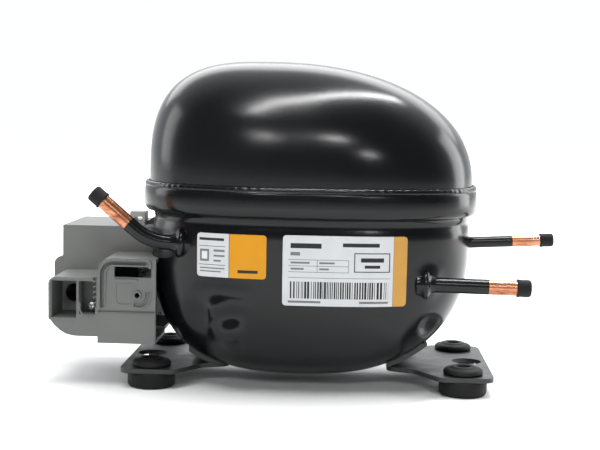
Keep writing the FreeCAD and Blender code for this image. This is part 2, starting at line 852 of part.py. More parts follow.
def build_stator_core():
    """Laminated stack with a polar pattern of slots and four screw holes."""
    body = DOCUMENT.addObject("PartDesign::Body", "StatorCore")
    half = ("stator_half_length", "stator_half_depth")
    corners = [("%d * %s" % (x, half[0]), "%d * %s" % (y, half[1])) for x, y in CORNERS]
    sketch = polygon_sketch(body, "stator_outline", "XY_Plane", corners)
    height = "stator_top - stator_bottom"
    stack = pad(body, "stator_stack", sketch, height)
    rounds = round_vertical_edges(body, "stator_rounds", "stator_corner", stack)
    body.Tip = rounds
    circles = [("0", "0", "stator_bore")]
    for x, y in CORNERS:
        hole = ("%d * screw_offset_long" % x, "%d * screw_offset_short" % y, "stator_screw")
        circles.append(hole)
    holes = circle_sketch(body, "stator_holes", "XY_Plane", circles)
    bored = pocket(body, "stator_bored", holes, height)
    body.Tip = bored
    slot_outline = [
        ("stator_bore - 2", "-slot_mouth / 2"),
        ("slot_inner", "-slot_mouth / 2"),
        ("slot_inner", "-slot_width / 2"),
        ("slot_outer", "-slot_width / 2"),
        ("slot_outer", "slot_width / 2"),
        ("slot_inner", "slot_width / 2"),
        ("slot_inner", "slot_mouth / 2"),
        ("stator_bore - 2", "slot_mouth / 2"),
    ]
    slot = polygon_sketch(body, "stator_slot", "XY_Plane", slot_outline)
    first = pocket(body, "stator_first_slot", slot, height)
    DOCUMENT.recompute()
    pattern = body.newObject("PartDesign::PolarPattern", "stator_slots")
    pattern.Originals = [first]
    pattern.Axis = (slot, ["N_Axis"])
    pattern.Angle = 360.0
    pattern.Occurrences = int(size("slot_count"))
    body.Tip = pattern
    at(body, ("shaft_position", "0", "stator_bottom"))
    node("stator_core", body)


def ring(name, outer, inner, start, length):
    """Upright ring on the shaft's axis."""
    centre = ("shaft_position", "0")
    solid = cylinder(name + "Outer", outer, length, centre + (start,))
    hollow = cylinder(name + "Inner", inner, "(%s) + 2" % length, centre + ("(%s) - 1" % start,))
    return cut(name, solid, hollow)


def build_windings():
    """End turns above and below the stack, joined by the wire in the slots."""
    low = ring("LowEndTurn", "winding_outer", "slot_inner + 0.3", "stator_bottom - 10", "9.8")
    high = ring("HighEndTurn", "winding_outer", "slot_inner + 0.3", "stator_top + 0.2", "8.8")
    bars = []
    for index in range(int(size("slot_count"))):
        bar = DOCUMENT.addObject("Part::Box", "SlotWire%d" % index)
        bind(bar, Length="slot_outer - slot_inner - 0.6", Width="slot_width - 0.4",
             Height="stator_top - stator_bottom + 1")
        turn = Rotation(Vector(0, 0, 1), 360.0 * index / size("slot_count"))
        inner = Vector(size("slot_inner") + 0.3, -size("slot_width") / 2.0 + 0.2,
                       size("stator_bottom") - 0.5)
        centre = Vector(size("shaft_position"), 0, 0)
        bar.Placement = Placement(centre + turn.multVec(inner), turn)
        bars.append(bar)
    node("stator_windings", fuse("StatorWindings", low, high, *bars))


def build_stator_screws():
    """Four screws that hold the stator to the block; their heads guide the springs."""
    shanks = corner_set("ScrewShank", "stator_screw", "spring_head", "104 - spring_head")
    heads = corner_set("ScrewHead", "screw_head", "42", "spring_head - 42")
    screws = [
        fuse("StatorScrew%d" % index, shank, head)
        for index, (shank, head) in enumerate(zip(shanks, heads))
    ]
    node("stator_screws", group("StatorScrews", *screws))


def build_rotor():
    """Rotor core, cast end rings and balance weight, all on the shaft."""
    core = ring("RotorCore", "stator_bore - air_gap", "shaft_radius", "stator_bottom",
                "stator_top - stator_bottom")
    node("rotor_core", core)
    outer = "stator_bore - 2 * air_gap"
    low = ring("LowRing", outer, "21", "stator_bottom - 6", "6")
    high = ring("HighRing", outer, "21", "stator_top", "5.5")
    node("rotor_end_rings", group("RotorEndRings", low, high))
    weight_ring = ring("WeightRing", "27", "17.5", "stator_top + 5.5", "3.5")
    window = block("WeightWindow", ("shaft_position - 30", "-30", "stator_top + 4"),
                   ("shaft_position - 4", "30", "stator_top + 10"))
    node("rotor_counterweight", common("RotorCounterweight", weight_ring, window))


# ---------------------------------------------------------------------------------------------
# Pump
# ---------------------------------------------------------------------------------------------

def build_crankshaft():
    """Main journal, web, crank pin and the oil tube pressed in its lower end."""
    axis = ("shaft_position", "0")
    journal = cylinder("Journal", "shaft_radius", "hub_top + 1.5 - 46", axis + ("46",))
    web = cylinder("Web", "16.5", "5.6", axis + ("hub_top + 0.8",))
    pin_axis = ("shaft_position + crank_throw", "0", "hub_top + 6")
    crank_pin = cylinder("CrankPin", "crank_pin_radius", "18", pin_axis)
    oil_bore = cylinder("OilBore", "4", "40", axis + ("45",))
    oil_rise = cylinder("OilRise", "1.5", "60", ("shaft_position + 3.5", "0", "80"))
    journal_all = fuse("CrankSolid", journal, web, crank_pin)
    node("crankshaft", cut("Crankshaft", journal_all, oil_bore, oil_rise))
    pump_outer = cylinder("PumpTubeOuter", "4", "42", axis + ("14",))
    pump_inner = cylinder("PumpTubeInner", "3.2", "44", axis + ("13",))
    node("oil_pump_tube", cut("OilPumpTube", pump_outer, pump_inner))
    node("thrust_washer", ring("ThrustWasher", "14.5", "shaft_radius + 0.1", "hub_top", "0.78"))


def build_block():
    """Cast block: plate with legs, main bearing hub and cylinder housing."""
    plate = block("BlockPlate", ("-52", "-block_half_depth", "plate_level"),
                  ("52", "block_half_depth", "plate_level + block_plate"))
    hub = cylinder("Hub", "hub_radius", "hub_top - 95", ("shaft_position", "0", "95"))
    housing = block("Housing", ("block_face", "-cylinder_half", "plate_level + 1"),
                    ("block_skirt", "cylinder_half", "cylinder_height + 23"))
    legs = corner_set("BlockLeg", "6", "stator_top", "plate_level + 1 - stator_top")
    casting = fuse("BlockCasting", plate, hub, housing, *legs)
    bearing = cylinder("BearingBore", "shaft_radius + running_clearance", "30",
                       ("shaft_position", "0", "90"))
    bore = cylinder("CylinderBore", "bore_radius", "60", ("-60", "0", "cylinder_height"), "X")
    screw_holes = corner_set("LegHole", "stator_screw", "stator_top - 1",
                             "104 - stator_top + 1")
    head_holes = head_screw_set("BlockHole", "head_screw", "-55", "14")
    node("cylinder_block",
         cut("CylinderBlock", casting, bearing, bore, *(screw_holes + head_holes)))


def head_screw_set(name, radius, start, length):
    """Four equal cylinders on the head screws' axes."""
    items = []
    for index, (across, up) in enumerate(CORNERS):
        place = (start, "%d * head_screw_offset" % across,
                 "cylinder_height + %d * head_screw_offset" % up)
        items.append(cylinder("%s%d" % (name, index), radius, length, place, "X"))
    return items


def build_piston_group():
    """Piston, its wrist pin and the connecting rod, at bottom dead centre."""
    wrist = "shaft_position + crank_throw - rod_length"
    height = "cylinder_height"
    crown = "%s - piston_crown" % wrist
    piston = cylinder("PistonSolid", "bore_radius - running_clearance", "piston_length",
                      (crown, "0", height), "X")
    hollow = block("PistonHollow", (crown + " + 2.8", "-8", height + " - 5.5"),
                   (crown + " + piston_length + 1", "8", height + " + 5.5"))
    pin_hole = cylinder("PistonPinHole", "wrist_pin_radius", "19",
                        (wrist, "0", height + " - 9.5"))
    node("piston", cut("Piston", piston, hollow, pin_hole))
    node("wrist_pin", cylinder("WristPin", "wrist_pin_radius", "19",
                               (wrist, "0", height + " - 9.5")))

    crank = "shaft_position + crank_throw"
    small_end = cylinder("SmallEnd", "6.5", "9", (wrist, "0", height + " - 4.5"))
    big_end = cylinder("BigEnd", "10.5", "10", (crank, "0", height + " - 5"))
    shank = block("RodShank", (wrist + " + 3", "-4", height + " - 4"),
                  (crank + " - 8", "4", height + " + 4"))
    small_hole = cylinder("SmallHole", "wrist_pin_radius + running_clearance", "12",
                          (wrist, "0", height + " - 6"))
    big_hole = cylinder("BigHole", "crank_pin_radius + running_clearance", "14",
                        (crank, "0", height + " - 7"))
    solid = fuse("RodSolid", small_end, big_end, shank)
    node("connecting_rod", cut("ConnectingRod", solid, small_hole, big_hole))


def stack_plate(name, start, thickness, *tools):
    """One plate of the valve stack, with four screw holes and its own windows."""
    solid = block(name + "Blank", ("(%s) - (%s)" % (start, thickness), "-cylinder_half",
                                   "cylinder_height - 23"),
                  (start, "cylinder_half", "cylinder_height + 23"))
    holes = head_screw_set(name + "Hole", "head_screw", "(%s) - (%s) - 1" % (start, thickness),
                           "(%s) + 2" % thickness)
    return cut(name, solid, *holes, *tools)


def build_valve_stack():
    """Gasket, valve plate, reeds, stop, head gasket, head and screws."""
    height = "cylinder_height"
    gasket_face = "block_face - valve_gasket"
    plate_face = gasket_face + " - valve_plate"
    head_face = plate_face + " - head_gasket"

    window = cylinder("GasketWindow", "bore_radius", "4", ("-57", "0", height), "X")
    root_window = block("ReedRootWindow", ("-57", "-3.2", height + " - 14.5"),
                        ("-54", "3.2", height))
    node("valve_gasket", stack_plate("ValveGasket", "block_face", "valve_gasket", window,
                                     root_window))

    suction_port = cylinder("SuctionPort", "2.2", "10", ("-62", "-1", height + " + 4"), "X")
    discharge_port = cylinder("DischargePort", "2", "10", ("-62", "7", height + " - 3"), "X")
    node("valve_plate", stack_plate("ValvePlate", gasket_face, "valve_plate", suction_port,
                                    discharge_port))

    reed_back = gasket_face + " + 0.2"
    tongue = block("SuctionTongue", (reed_back, "-2.6", height + " - 13.5"),
                   (reed_back + " + reed_thickness", "2.6", height + " + 4.5"))
    tip = cylinder("SuctionTip", "3.4", "reed_thickness", (reed_back, "-0.2", height + " + 4.2"),
                   "X")
    node("suction_reed", fuse("SuctionReed", tongue, tip))

    reed_face = plate_face + " - 0.1 - reed_thickness"
    strip = block("DischargeStrip", (reed_face, "4.2", height + " - 3"),
                  (reed_face + " + reed_thickness", "9.8", height + " + 12"))
    strip_tip = cylinder("DischargeTip", "2.8", "reed_thickness", (reed_face, "7", height + " - 3"),
                         "X")
    node("discharge_reed", fuse("DischargeReed", strip, strip_tip))

    stop_bar = block("StopBar", (plate_face + " - 3.6", "4.6", height + " - 4"),
                     (plate_face + " - 2.6", "9.4", height + " + 16"))
    stop_foot = block("StopFoot", (plate_face + " - 2.6", "4.6", height + " + 13"),
                      (plate_face, "9.4", height + " + 16"))
    node("reed_stop", fuse("ReedStop", stop_bar, stop_foot))

    chamber_low = ("-70", "3.2", height + " - 17")
    chamber = block("GasketChamber", chamber_low, ("-57", "16", height + " + 17"))
    inlet = cylinder("GasketInlet", "3.4", "20", ("-75", "-1", height + " + 4"), "X")
    node("head_gasket", stack_plate("HeadGasket", plate_face, "head_gasket", chamber, inlet))

    head_chamber = block("HeadChamber", chamber_low, ("-57", "16", height + " + 17"))
    head_inlet = cylinder("HeadInlet", "3.4", "20", ("-75", "-1", height + " + 4"), "X")
    outlet = cylinder("HeadOutlet", "1.6", "12", ("-66", "14", height + " - 12"), "Y")
    node("cylinder_head", stack_plate("CylinderHead", head_face, "head_depth", head_chamber,
                                      head_inlet, outlet))

    outer_face = head_face + " - head_depth"
    shanks = head_screw_set("HeadShank", "head_screw", outer_face, "-41 - (%s)" % outer_face)
    caps = head_screw_set("HeadCap", "4.4", outer_face + " - 3", "3")
    screws = [
        fuse("HeadScrew%d" % index, shank, cap)
        for index, (shank, cap) in enumerate(zip(shanks, caps))
    ]
    node("head_screws", group("HeadScrews", *screws))


def build_suction_muffler():
    """Plastic suction muffler beside the head, with a nose in the head and a lower inlet."""
    height = "cylinder_height"
    shell = block("MufflerShell", ("-82.6", "-13", "102"), ("-73.6", "13", "144"))
    nose = cylinder("MufflerNose", "3.3", "16", ("-74.6", "-1", height + " + 4"), "X")
    inlet = cylinder("MufflerInlet", "4", "8", ("-78.1", "-6", "95"))
    outside = fuse("MufflerOutside", shell, nose, inlet)
    hollow = block("MufflerHollow", ("-81", "-11.4", "103.6"), ("-75.2", "11.4", "142.4"))
    nose_bore = cylinder("NoseBore", "2.3", "18", ("-76", "-1", height + " + 4"), "X")
    inlet_bore = cylinder("InletBore", "2.8", "12", ("-78.1", "-6", "94"))
    node("suction_muffler", cut("SuctionMuffler", outside, hollow, nose_bore, inlet_bore))


def build_discharge_line():
    """Flexible copper line from the head round the block to the discharge collar."""
    head_side = size("cylinder_half") + 0.05
    height = size("cylinder_height") - 12.0
    points = [
        Vector(-66, head_side, height),
        Vector(-66, 41, height),
        Vector(-30, 51, 112),
        Vector(20, 55.5, 108),
        Vector(64, 39, 100),
        Vector(70, 8, 92),
        Vector(57.5, -5, 78.2),
        Vector(73.9, -5, 79),
    ]
    line = hollow_along(points, 6.0, 2.4, 1.6)
    node("discharge_line", feature("DischargeLine", line))


# ---------------------------------------------------------------------------------------------
# Suspension
# ---------------------------------------------------------------------------------------------

def build_suspension():
    """Pedestals on the bowl, the envelope of each coil spring, and the seats under the stator."""
    stems = corner_set("Stem", "4.2", "spring_foot - 4", "10")
    bases = corner_set("Base", "7.4", "bowl_floor", "spring_foot - bowl_floor")
    pedestals = []
    for index, (stem, base) in enumerate(zip(stems, bases)):
        foot = common("PedestalFoot%d" % index, base, BOWL_CAVITY)
        pedestals.append(fuse("Pedestal%d" % index, foot, stem))
    node("spring_pedestals", group("SpringPedestals", *pedestals))

    coils = corner_set("Coil", "spring_radius + spring_wire", "spring_foot + 0.15",
                       "spring_head - spring_foot - 0.3")
    cores = corner_set("CoilCore", "spring_radius - spring_wire", "spring_foot - 1",
                       "spring_head - spring_foot + 2")
    springs = [
        cut("Spring%d" % index, coil, core)
        for index, (coil, core) in enumerate(zip(coils, cores))
    ]
    node("suspension_springs", group("SuspensionSprings", *springs))

    plates = corner_set("SeatPlate", "7.4", "spring_head", "stator_bottom - spring_head")
    holes = corner_set("SeatHole", "stator_screw", "spring_head - 1", "5")
    seats = [
        cut("SpringSeat%d" % index, plate, hole)
        for index, (plate, hole) in enumerate(zip(plates, holes))
    ]
    node("spring_seats", group("SpringSeats", *seats))


# ---------------------------------------------------------------------------------------------
# Build, check and write
# ---------------------------------------------------------------------------------------------

def check_document():
    """Stop on any failed object or bad shape."""
    for item in DOCUMENT.Objects:
        if "Invalid" in item.State or "Error" in item.State:
            raise RuntimeError("failed object: %s %s" % (item.Name, item.State))
    for item in NODES:
        if item.Shape.isNull() or not item.Shape.isValid() or not item.Shape.Solids:
            raise RuntimeError("bad shape: %s" % item.Label)


def write_parts():
    """One STEP file for each sub-part."""
    os.makedirs("parts", exist_ok=True)
    for item in NODES:
        item.Shape.exportStep("parts/%s.step" % item.Label)
        print("%-22s solids %2d  volume %10.1f" % (item.Label, len(item.Shape.Solids),
                                                  item.Shape.Volume))
    print(len(NODES), "nodes")




BOWL_CORE = feature("BowlCore", BOWL_OUTSIDE)
BOWL_CAVITY = feature("BowlCavity", BOWL_INSIDE)
BOWL_CLEAR = feature("BowlClear", bowl_solid(size("cover_gap"), size("neck_height")))
SADDLE_SKIN = bowl_skin(size("label_gap"), size("saddle_thickness"))

build_shells()
build_foot_plates()
build_grommets()
build_tubes()
build_labels()
build_terminal()
build_motor_leads()
build_terminal_fence()
build_start_parts()
build_cover()
build_stator_core()
build_windings()
build_stator_screws()
build_rotor()
build_crankshaft()
build_block()
build_piston_group()
build_valve_stack()
build_suction_muffler()
build_discharge_line()
build_suspension()
DOCUMENT.recompute()
check_document()
write_parts()
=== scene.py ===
"""Looks of a hermetic reciprocating compressor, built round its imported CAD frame. +Z is up."""
import json
import math
import random

import bmesh
import bpy
from mathutils import Matrix, Vector


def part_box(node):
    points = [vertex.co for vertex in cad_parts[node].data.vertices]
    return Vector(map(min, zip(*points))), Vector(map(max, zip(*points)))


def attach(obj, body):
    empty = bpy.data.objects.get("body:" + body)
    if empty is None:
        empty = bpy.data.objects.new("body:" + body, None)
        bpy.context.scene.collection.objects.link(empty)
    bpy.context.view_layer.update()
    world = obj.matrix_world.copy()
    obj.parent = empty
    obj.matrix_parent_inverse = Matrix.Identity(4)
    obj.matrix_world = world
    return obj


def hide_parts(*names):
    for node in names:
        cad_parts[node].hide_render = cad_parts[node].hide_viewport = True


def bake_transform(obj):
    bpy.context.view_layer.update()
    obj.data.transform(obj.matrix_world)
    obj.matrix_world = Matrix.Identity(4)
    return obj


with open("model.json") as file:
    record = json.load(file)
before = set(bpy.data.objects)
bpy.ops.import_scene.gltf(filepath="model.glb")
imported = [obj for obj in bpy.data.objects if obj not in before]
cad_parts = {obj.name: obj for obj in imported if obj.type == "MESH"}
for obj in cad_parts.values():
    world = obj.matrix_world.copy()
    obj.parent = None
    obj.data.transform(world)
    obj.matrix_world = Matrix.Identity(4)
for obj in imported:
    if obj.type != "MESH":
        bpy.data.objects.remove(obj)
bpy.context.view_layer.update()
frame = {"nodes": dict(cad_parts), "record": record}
MM = 0.001

# --- Sizes read from the frame, in millimetres ---


def box_mm(node):
    """Low and high corner of a CAD node at rest, in millimetres."""
    low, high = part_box(node)
    return [value / MM for value in low], [value / MM for value in high]


LID_LOW, LID_HIGH = box_mm("upper_shell")
SHELL_HIGH = box_mm("lower_shell")[1]
WALL = 2.8
PLAN_EXPONENT = 2.6
AROUND = 200

LID_LEFT = LID_LOW[0]
LID_RIGHT = LID_HIGH[0]
LID_HALF_DEPTH = LID_HIGH[1]
LID_TOP = LID_HIGH[2]
RING_LAP = SHELL_HIGH[1] - LID_HALF_DEPTH
RING_TOP = SHELL_HIGH[2]
RING_BOTTOM = RING_TOP - 12.0
NECK = RING_BOTTOM - 3.0
CROWN_BASE = RING_TOP + 2.1
CROWN_HEIGHT = LID_TOP - CROWN_BASE
CROWN_PEAK = -22.8
BOWL_LEFT = 88.8
BOWL_RIGHT = 88.5
BOWL_HALF_DEPTH = LID_HALF_DEPTH - 1.0
BOWL_SHOULDER = 80.0
BOWL_FLOOR = 4.0

# --- Material nodes ---


class Shader:
    """One procedural material around a single Principled shader."""

    def __init__(self, name, roughness, metallic=0.0, coat=0.0, specular=0.5):
        self.material = bpy.data.materials.new(name)
        self.material.use_nodes = True
        self.tree = self.material.node_tree
        self.surface = self.tree.nodes["Principled BSDF"]
        self.surface.inputs["Roughness"].default_value = roughness
        self.surface.inputs["Metallic"].default_value = metallic
        self.surface.inputs["Coat Weight"].default_value = coat
        self.surface.inputs["Coat Roughness"].default_value = 0.08
        self.surface.inputs["Specular IOR Level"].default_value = specular
        self.place = self.node("ShaderNodeTexCoord").outputs["Object"]
        self.height = None

    def node(self, kind, **values):
        """Add a node and set its attributes."""
        item = self.tree.nodes.new(kind)
        for key, value in values.items():
            setattr(item, key, value)
        return item

    def link(self, start, end):
        """Join two sockets."""
        self.tree.links.new(start, end)

    def scaled(self, stretch):
        """Object coordinates stretched along each axis."""
        mapping = self.node("ShaderNodeMapping")
        mapping.inputs["Scale"].default_value = stretch
        self.link(self.place, mapping.inputs["Vector"])
        return mapping.outputs["Vector"]

    def noise(self, scale, detail=4.0, stretch=(1, 1, 1), roughness=0.5):
        """Noise value between 0 and 1."""
        item = self.node("ShaderNodeTexNoise")
        item.inputs["Scale"].default_value = scale
        item.inputs["Detail"].default_value = detail
        item.inputs["Roughness"].default_value = roughness
        self.link(self.scaled(stretch), item.inputs["Vector"])
        return item.outputs["Fac"]

    def ramp(self, value, stops):
        """Colour ramp over a value; stops are (position, colour)."""
        item = self.node("ShaderNodeValToRGB")
        elements = item.color_ramp.elements
        while len(elements) < len(stops):
            elements.new(0.5)
        for element, (position, colour) in zip(elements, stops):
            element.position = position
            element.color = (*colour, 1.0)
        self.link(value, item.inputs["Fac"])
        return item.outputs["Color"]

    def band(self, value, low, high, start=0.0, end=1.0):
        """Map a value from one span to another, clamped."""
        item = self.node("ShaderNodeMapRange")
        item.inputs["From Min"].default_value = low
        item.inputs["From Max"].default_value = high
        item.inputs["To Min"].default_value = start
        item.inputs["To Max"].default_value = end
        self.link(value, item.inputs["Value"])
        return item.outputs["Result"]

    def mix(self, share, first, second):
        """Blend two colour sockets or plain colours."""
        item = self.node("ShaderNodeMix", data_type="RGBA")
        for socket, source in ((0, share), (6, first), (7, second)):
            if isinstance(source, tuple):
                item.inputs[socket].default_value = (*source, 1.0)
            else:
                self.link(source, item.inputs[socket])
        return item.outputs[2]

    def colour(self, source):
        """Drive the base colour."""
        self.link(source, self.surface.inputs["Base Color"])
        return self

    def rough(self, source):
        """Drive the roughness."""
        self.link(source, self.surface.inputs["Roughness"])
        return self

    def bump(self, value, strength, distance):
        """Stack a bump on the surface normal."""
        item = self.node("ShaderNodeBump")
        item.inputs["Strength"].default_value = strength
        item.inputs["Distance"].default_value = distance
        self.link(value, item.inputs["Height"])
        if self.height is not None:
            self.link(self.height, item.inputs["Normal"])
        self.height = item.outputs["Normal"]
        self.link(self.height, self.surface.inputs["Normal"])
        return self


def paint_material():
    """Gloss black stoving paint with a slight orange peel and dust."""
    paint = Shader("shell_paint", 0.2, specular=0.3)
    broad = paint.noise(14.0, 3.0)
    fine = paint.noise(420.0, 2.0)
    dust = paint.noise(1500.0, 2.0, roughness=0.7)
    base = paint.ramp(broad, [(0.3, (0.003, 0.0034, 0.004)), (0.75, (0.006, 0.0066, 0.0076))])
    speck = paint.band(dust, 0.74, 0.8, 0.0, 0.35)
    paint.colour(paint.mix(speck, base, (0.05, 0.05, 0.052)))
    paint.rough(paint.band(broad, 0.3, 0.75, 0.17, 0.27))
    paint.bump(fine, 0.06, 0.0003)
    paint.bump(paint.noise(60.0, 2.0), 0.05, 0.0006)
    return paint.material


def plate_material():
    """Thinner black paint over stamped steel: satin, slightly grey, scuffed."""
    plate = Shader("plate_paint", 0.42)
    grain = plate.noise(90.0, 5.0)
    scuff = plate.noise(35.0, 8.0, stretch=(1, 4, 1), roughness=0.75)
    base = plate.ramp(grain, [(0.3, (0.018, 0.0185, 0.019)), (0.75, (0.034, 0.0345, 0.035))])
    plate.colour(plate.mix(plate.band(scuff, 0.62, 0.72, 0.0, 0.5), base, (0.09, 0.09, 0.09)))
    plate.rough(plate.band(grain, 0.3, 0.7, 0.32, 0.5))
    plate.bump(grain, 0.12, 0.0003)
    return plate.material


def rubber_material(name, shade, grip=0.15):
    """Matte moulded rubber with bloom."""
    rubber = Shader(name, 0.68, specular=0.22)
    bloom = rubber.noise(70.0, 6.0)
    low = tuple(shade * part for part in (0.9, 0.92, 1.0))
    high = tuple(shade * 1.9 * part for part in (0.98, 1.0, 1.06))
    rubber.colour(rubber.ramp(bloom, [(0.3, low), (0.8, high)]))
    rubber.rough(rubber.band(bloom, 0.3, 0.8, 0.55, 0.8))
    rubber.bump(rubber.noise(900.0, 3.0), grip, 0.0002)
    return rubber.material


def copper_material():
    """Drawn copper with dark heat stains and fine turning lines."""
    copper = Shader("copper", 0.24, metallic=1.0)
    stain = copper.noise(160.0, 6.0, stretch=(0.5, 1.3, 1.3), roughness=0.7)
    lines = copper.noise(900.0, 2.0, stretch=(1.0, 0.05, 0.05))
    base = copper.ramp(stain, [(0.3, (0.18, 0.06, 0.03)), (0.5, (0.52, 0.22, 0.12)),
                               (0.8, (0.85, 0.46, 0.3))])
    copper.colour(base)
    copper.rough(copper.band(stain, 0.3, 0.8, 0.36, 0.18))
    copper.bump(lines, 0.18, 0.0002)
    return copper.material


def plastic_material(name, dark, light, roughness=0.5):
    """Spark-textured moulded plastic with slight flow marks."""
    plastic = Shader(name, roughness)
    flow = plastic.noise(22.0, 4.0, stretch=(1.0, 1.0, 0.5))
    grain = plastic.noise(1400.0, 2.0)
    plastic.colour(plastic.ramp(flow, [(0.3, dark), (0.75, light)]))
    plastic.rough(plastic.band(flow, 0.3, 0.8, roughness - 0.06, roughness + 0.08))
    plastic.bump(grain, 0.12, 0.0002)
    return plastic.material


def metal_material(name, dark, light, roughness, grain_scale=300.0, stretch=(1, 1, 1)):
    """Bare or plated metal with grain."""
    metal = Shader(name, roughness, metallic=1.0)
    grain = metal.noise(grain_scale, 5.0, stretch=stretch)
    metal.colour(metal.ramp(grain, [(0.3, dark), (0.75, light)]))
    metal.rough(metal.band(grain, 0.3, 0.8, roughness - 0.08, roughness + 0.12))
    metal.bump(grain, 0.1, 0.0002)
    return metal.material


def film_material(name, colour, roughness=0.36):
    """Printed label film with faint mottling."""
    film = Shader(name, roughness, specular=0.2)
    mottle = film.noise(120.0, 5.0)
    low = tuple(part * 0.92 for part in colour)
    film.colour(film.ramp(mottle, [(0.3, low), (0.75, colour)]))
    film.rough(film.band(mottle, 0.3, 0.8, roughness - 0.06, roughness + 0.08))
    film.bump(film.noise(260.0, 3.0), 0.04, 0.0002)
    return film.material


def glass_material():
    """Green fused glass bead."""
    glass = Shader("glass_bead", 0.08)
    swirl = glass.noise(200.0, 3.0)
    glass.colour(glass.ramp(swirl, [(0.3, (0.03, 0.09, 0.07)), (0.8, (0.08, 0.2, 0.16))]))
    return glass.material


def laminated_material():
    """Thin steel sheets stacked along Z."""
    stack = Shader("lamination_steel", 0.4, metallic=1.0)
    wave = stack.node("ShaderNodeTexWave", wave_type="BANDS", bands_direction="Z")
    wave.inputs["Scale"].default_value = 320.0
    wave.inputs["Distortion"].default_value = 0.4
    stack.link(stack.place, wave.inputs["Vector"])
    tint = stack.ramp(wave.outputs["Fac"], [(0.2, (0.1, 0.105, 0.12)), (0.8, (0.3, 0.31, 0.34))])
    stack.colour(tint)
    stack.bump(wave.outputs["Fac"], 0.4, 0.0002)
    return stack.material


def winding_material():
    """Lacquered copper wire laid round the end turns."""
    wire = Shader("winding_wire", 0.3, metallic=0.6, coat=0.3)
    strand = wire.noise(700.0, 3.0, stretch=(1, 1, 3))
    wire.colour(wire.ramp(strand, [(0.3, (0.16, 0.04, 0.012)), (0.7, (0.5, 0.17, 0.06))]))
    wire.bump(strand, 0.6, 0.0005)
    return wire.material


MATERIALS = {
    "shell_paint": paint_material(),
    "plate_paint": plate_material(),
    "grommet_rubber": rubber_material("grommet_rubber", 0.0075),
    "cap_rubber": rubber_material("cap_rubber", 0.006, 0.09),
    "copper": copper_material(),
    "cover_plastic": plastic_material("cover_plastic", (0.118, 0.122, 0.118),
                                      (0.15, 0.154, 0.148)),
    "latch_plastic": plastic_material("latch_plastic", (0.3, 0.3, 0.29), (0.38, 0.38, 0.37)),
    # black_plastic is also the painted shade of the clamp screw's cross recess.
    "black_plastic": plastic_material("black_plastic", (0.012, 0.012, 0.013),
                                      (0.024, 0.024, 0.025), 0.4),
    "muffler_plastic": plastic_material("muffler_plastic", (0.6, 0.57, 0.48),
                                        (0.74, 0.71, 0.62)),
    "gasket_sheet": plastic_material("gasket_sheet", (0.06, 0.09, 0.07), (0.1, 0.14, 0.11), 0.6),
    "lead_insulation": plastic_material("lead_insulation", (0.5, 0.48, 0.42), (0.7, 0.68, 0.6)),
    "zinc_steel": metal_material("zinc_steel", (0.42, 0.43, 0.44), (0.66, 0.67, 0.68), 0.32),
    "ground_steel": metal_material("ground_steel", (0.38, 0.38, 0.39), (0.6, 0.6, 0.61), 0.26,
                                   600.0, (1, 1, 6)),
    "cast_iron": metal_material("cast_iron", (0.05, 0.05, 0.052), (0.14, 0.14, 0.142), 0.5,
                                220.0),
    "rotor_aluminium": metal_material("rotor_aluminium", (0.5, 0.5, 0.51), (0.7, 0.7, 0.71),
                                      0.4),
    "lamination_steel": laminated_material(),
    "winding_wire": winding_material(),
    "glass_bead": glass_material(),
    "film_white": film_material("film_white", (0.56, 0.575, 0.59)),
    "film_pale": film_material("film_pale", (0.68, 0.69, 0.7)),
    "film_amber": film_material("film_amber", (0.52, 0.28, 0.06)),
    "film_orange": film_material("film_orange", (0.62, 0.27, 0.008)),
    "ink_black": film_material("ink_black", (0.02, 0.02, 0.022), 0.45),
    "ink_grey": film_material("ink_grey", (0.16, 0.165, 0.17), 0.45),
}

# --- Mesh helpers, in millimetres ---


def finish_mesh(name, shape, materials, smooth_angle=40.0):
    """Turn a bmesh in millimetres into an object in metres."""
    bmesh.ops.remove_doubles(shape, verts=shape.verts, dist=0.001)
    bmesh.ops.recalc_face_normals(shape, faces=shape.faces)
    bmesh.ops.scale(shape, vec=(MM, MM, MM), verts=shape.verts)
    mesh = bpy.data.meshes.new(name)
    shape.to_mesh(mesh)
    shape.free()
    item = bpy.data.objects.new(name, mesh)
    bpy.context.scene.collection.objects.link(item)
    for material in materials:
        mesh.materials.append(MATERIALS[material])
    mesh.shade_smooth()
    mesh.set_sharp_from_angle(angle=math.radians(smooth_angle))
    return item


def piece(item, body, slot, *nodes):
    """Attach a piece to the body it rides on and hide the CAD nodes it stands for; the slot
    argument is not used.
    """
    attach(item, body)
    if nodes:
        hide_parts(*nodes)
    return item


def bridge_rings(shape, rings, loop=False):
    """Join equal rings of points into a skin; ends are capped or joined to each other."""
    made = [[shape.verts.new(point) for point in ring] for ring in rings]
    count = len(made[0])
    faces = []
    pairs = list(zip(made, made[1:]))
    if loop:
        pairs.append((made[-1], made[0]))
    for low, high in pairs:
        for index in range(count):
            after = (index + 1) % count
            faces.append(shape.faces.new((low[index], low[after], high[after], high[index])))
    if not loop:
        shape.faces.new(list(reversed(made[0])))
        shape.faces.new(made[-1])
    return faces


def lathe(shape, profile, place, direction, turns=48):
    """Closed profile of (radius, distance along the axis), turned round an axis."""
    direction = Vector(direction).normalized()
    rotation = Vector((0, 0, 1)).rotation_difference(direction).to_matrix()
    rings = []
    for step in range(turns):
        angle = 2.0 * math.pi * step / turns
        side = Vector((math.cos(angle), math.sin(angle), 0))
        ring = [rotation @ (side * radius + Vector((0, 0, along))) + Vector(place)
                for radius, along in profile]
        rings.append(ring)
    return bridge_rings(shape, rings, loop=True)


def bevel_sharp(shape, width, segments=2, angle=40.0):
    """Round every edge sharper than an angle."""
    sharp = [edge for edge in shape.edges
             if len(edge.link_faces) == 2 and edge.calc_face_angle(0.0) > math.radians(angle)]
    bmesh.ops.bevel(shape, geom=sharp, offset=width, offset_type="OFFSET", segments=segments,
                    profile=0.6, affect="EDGES", clamp_overlap=True)


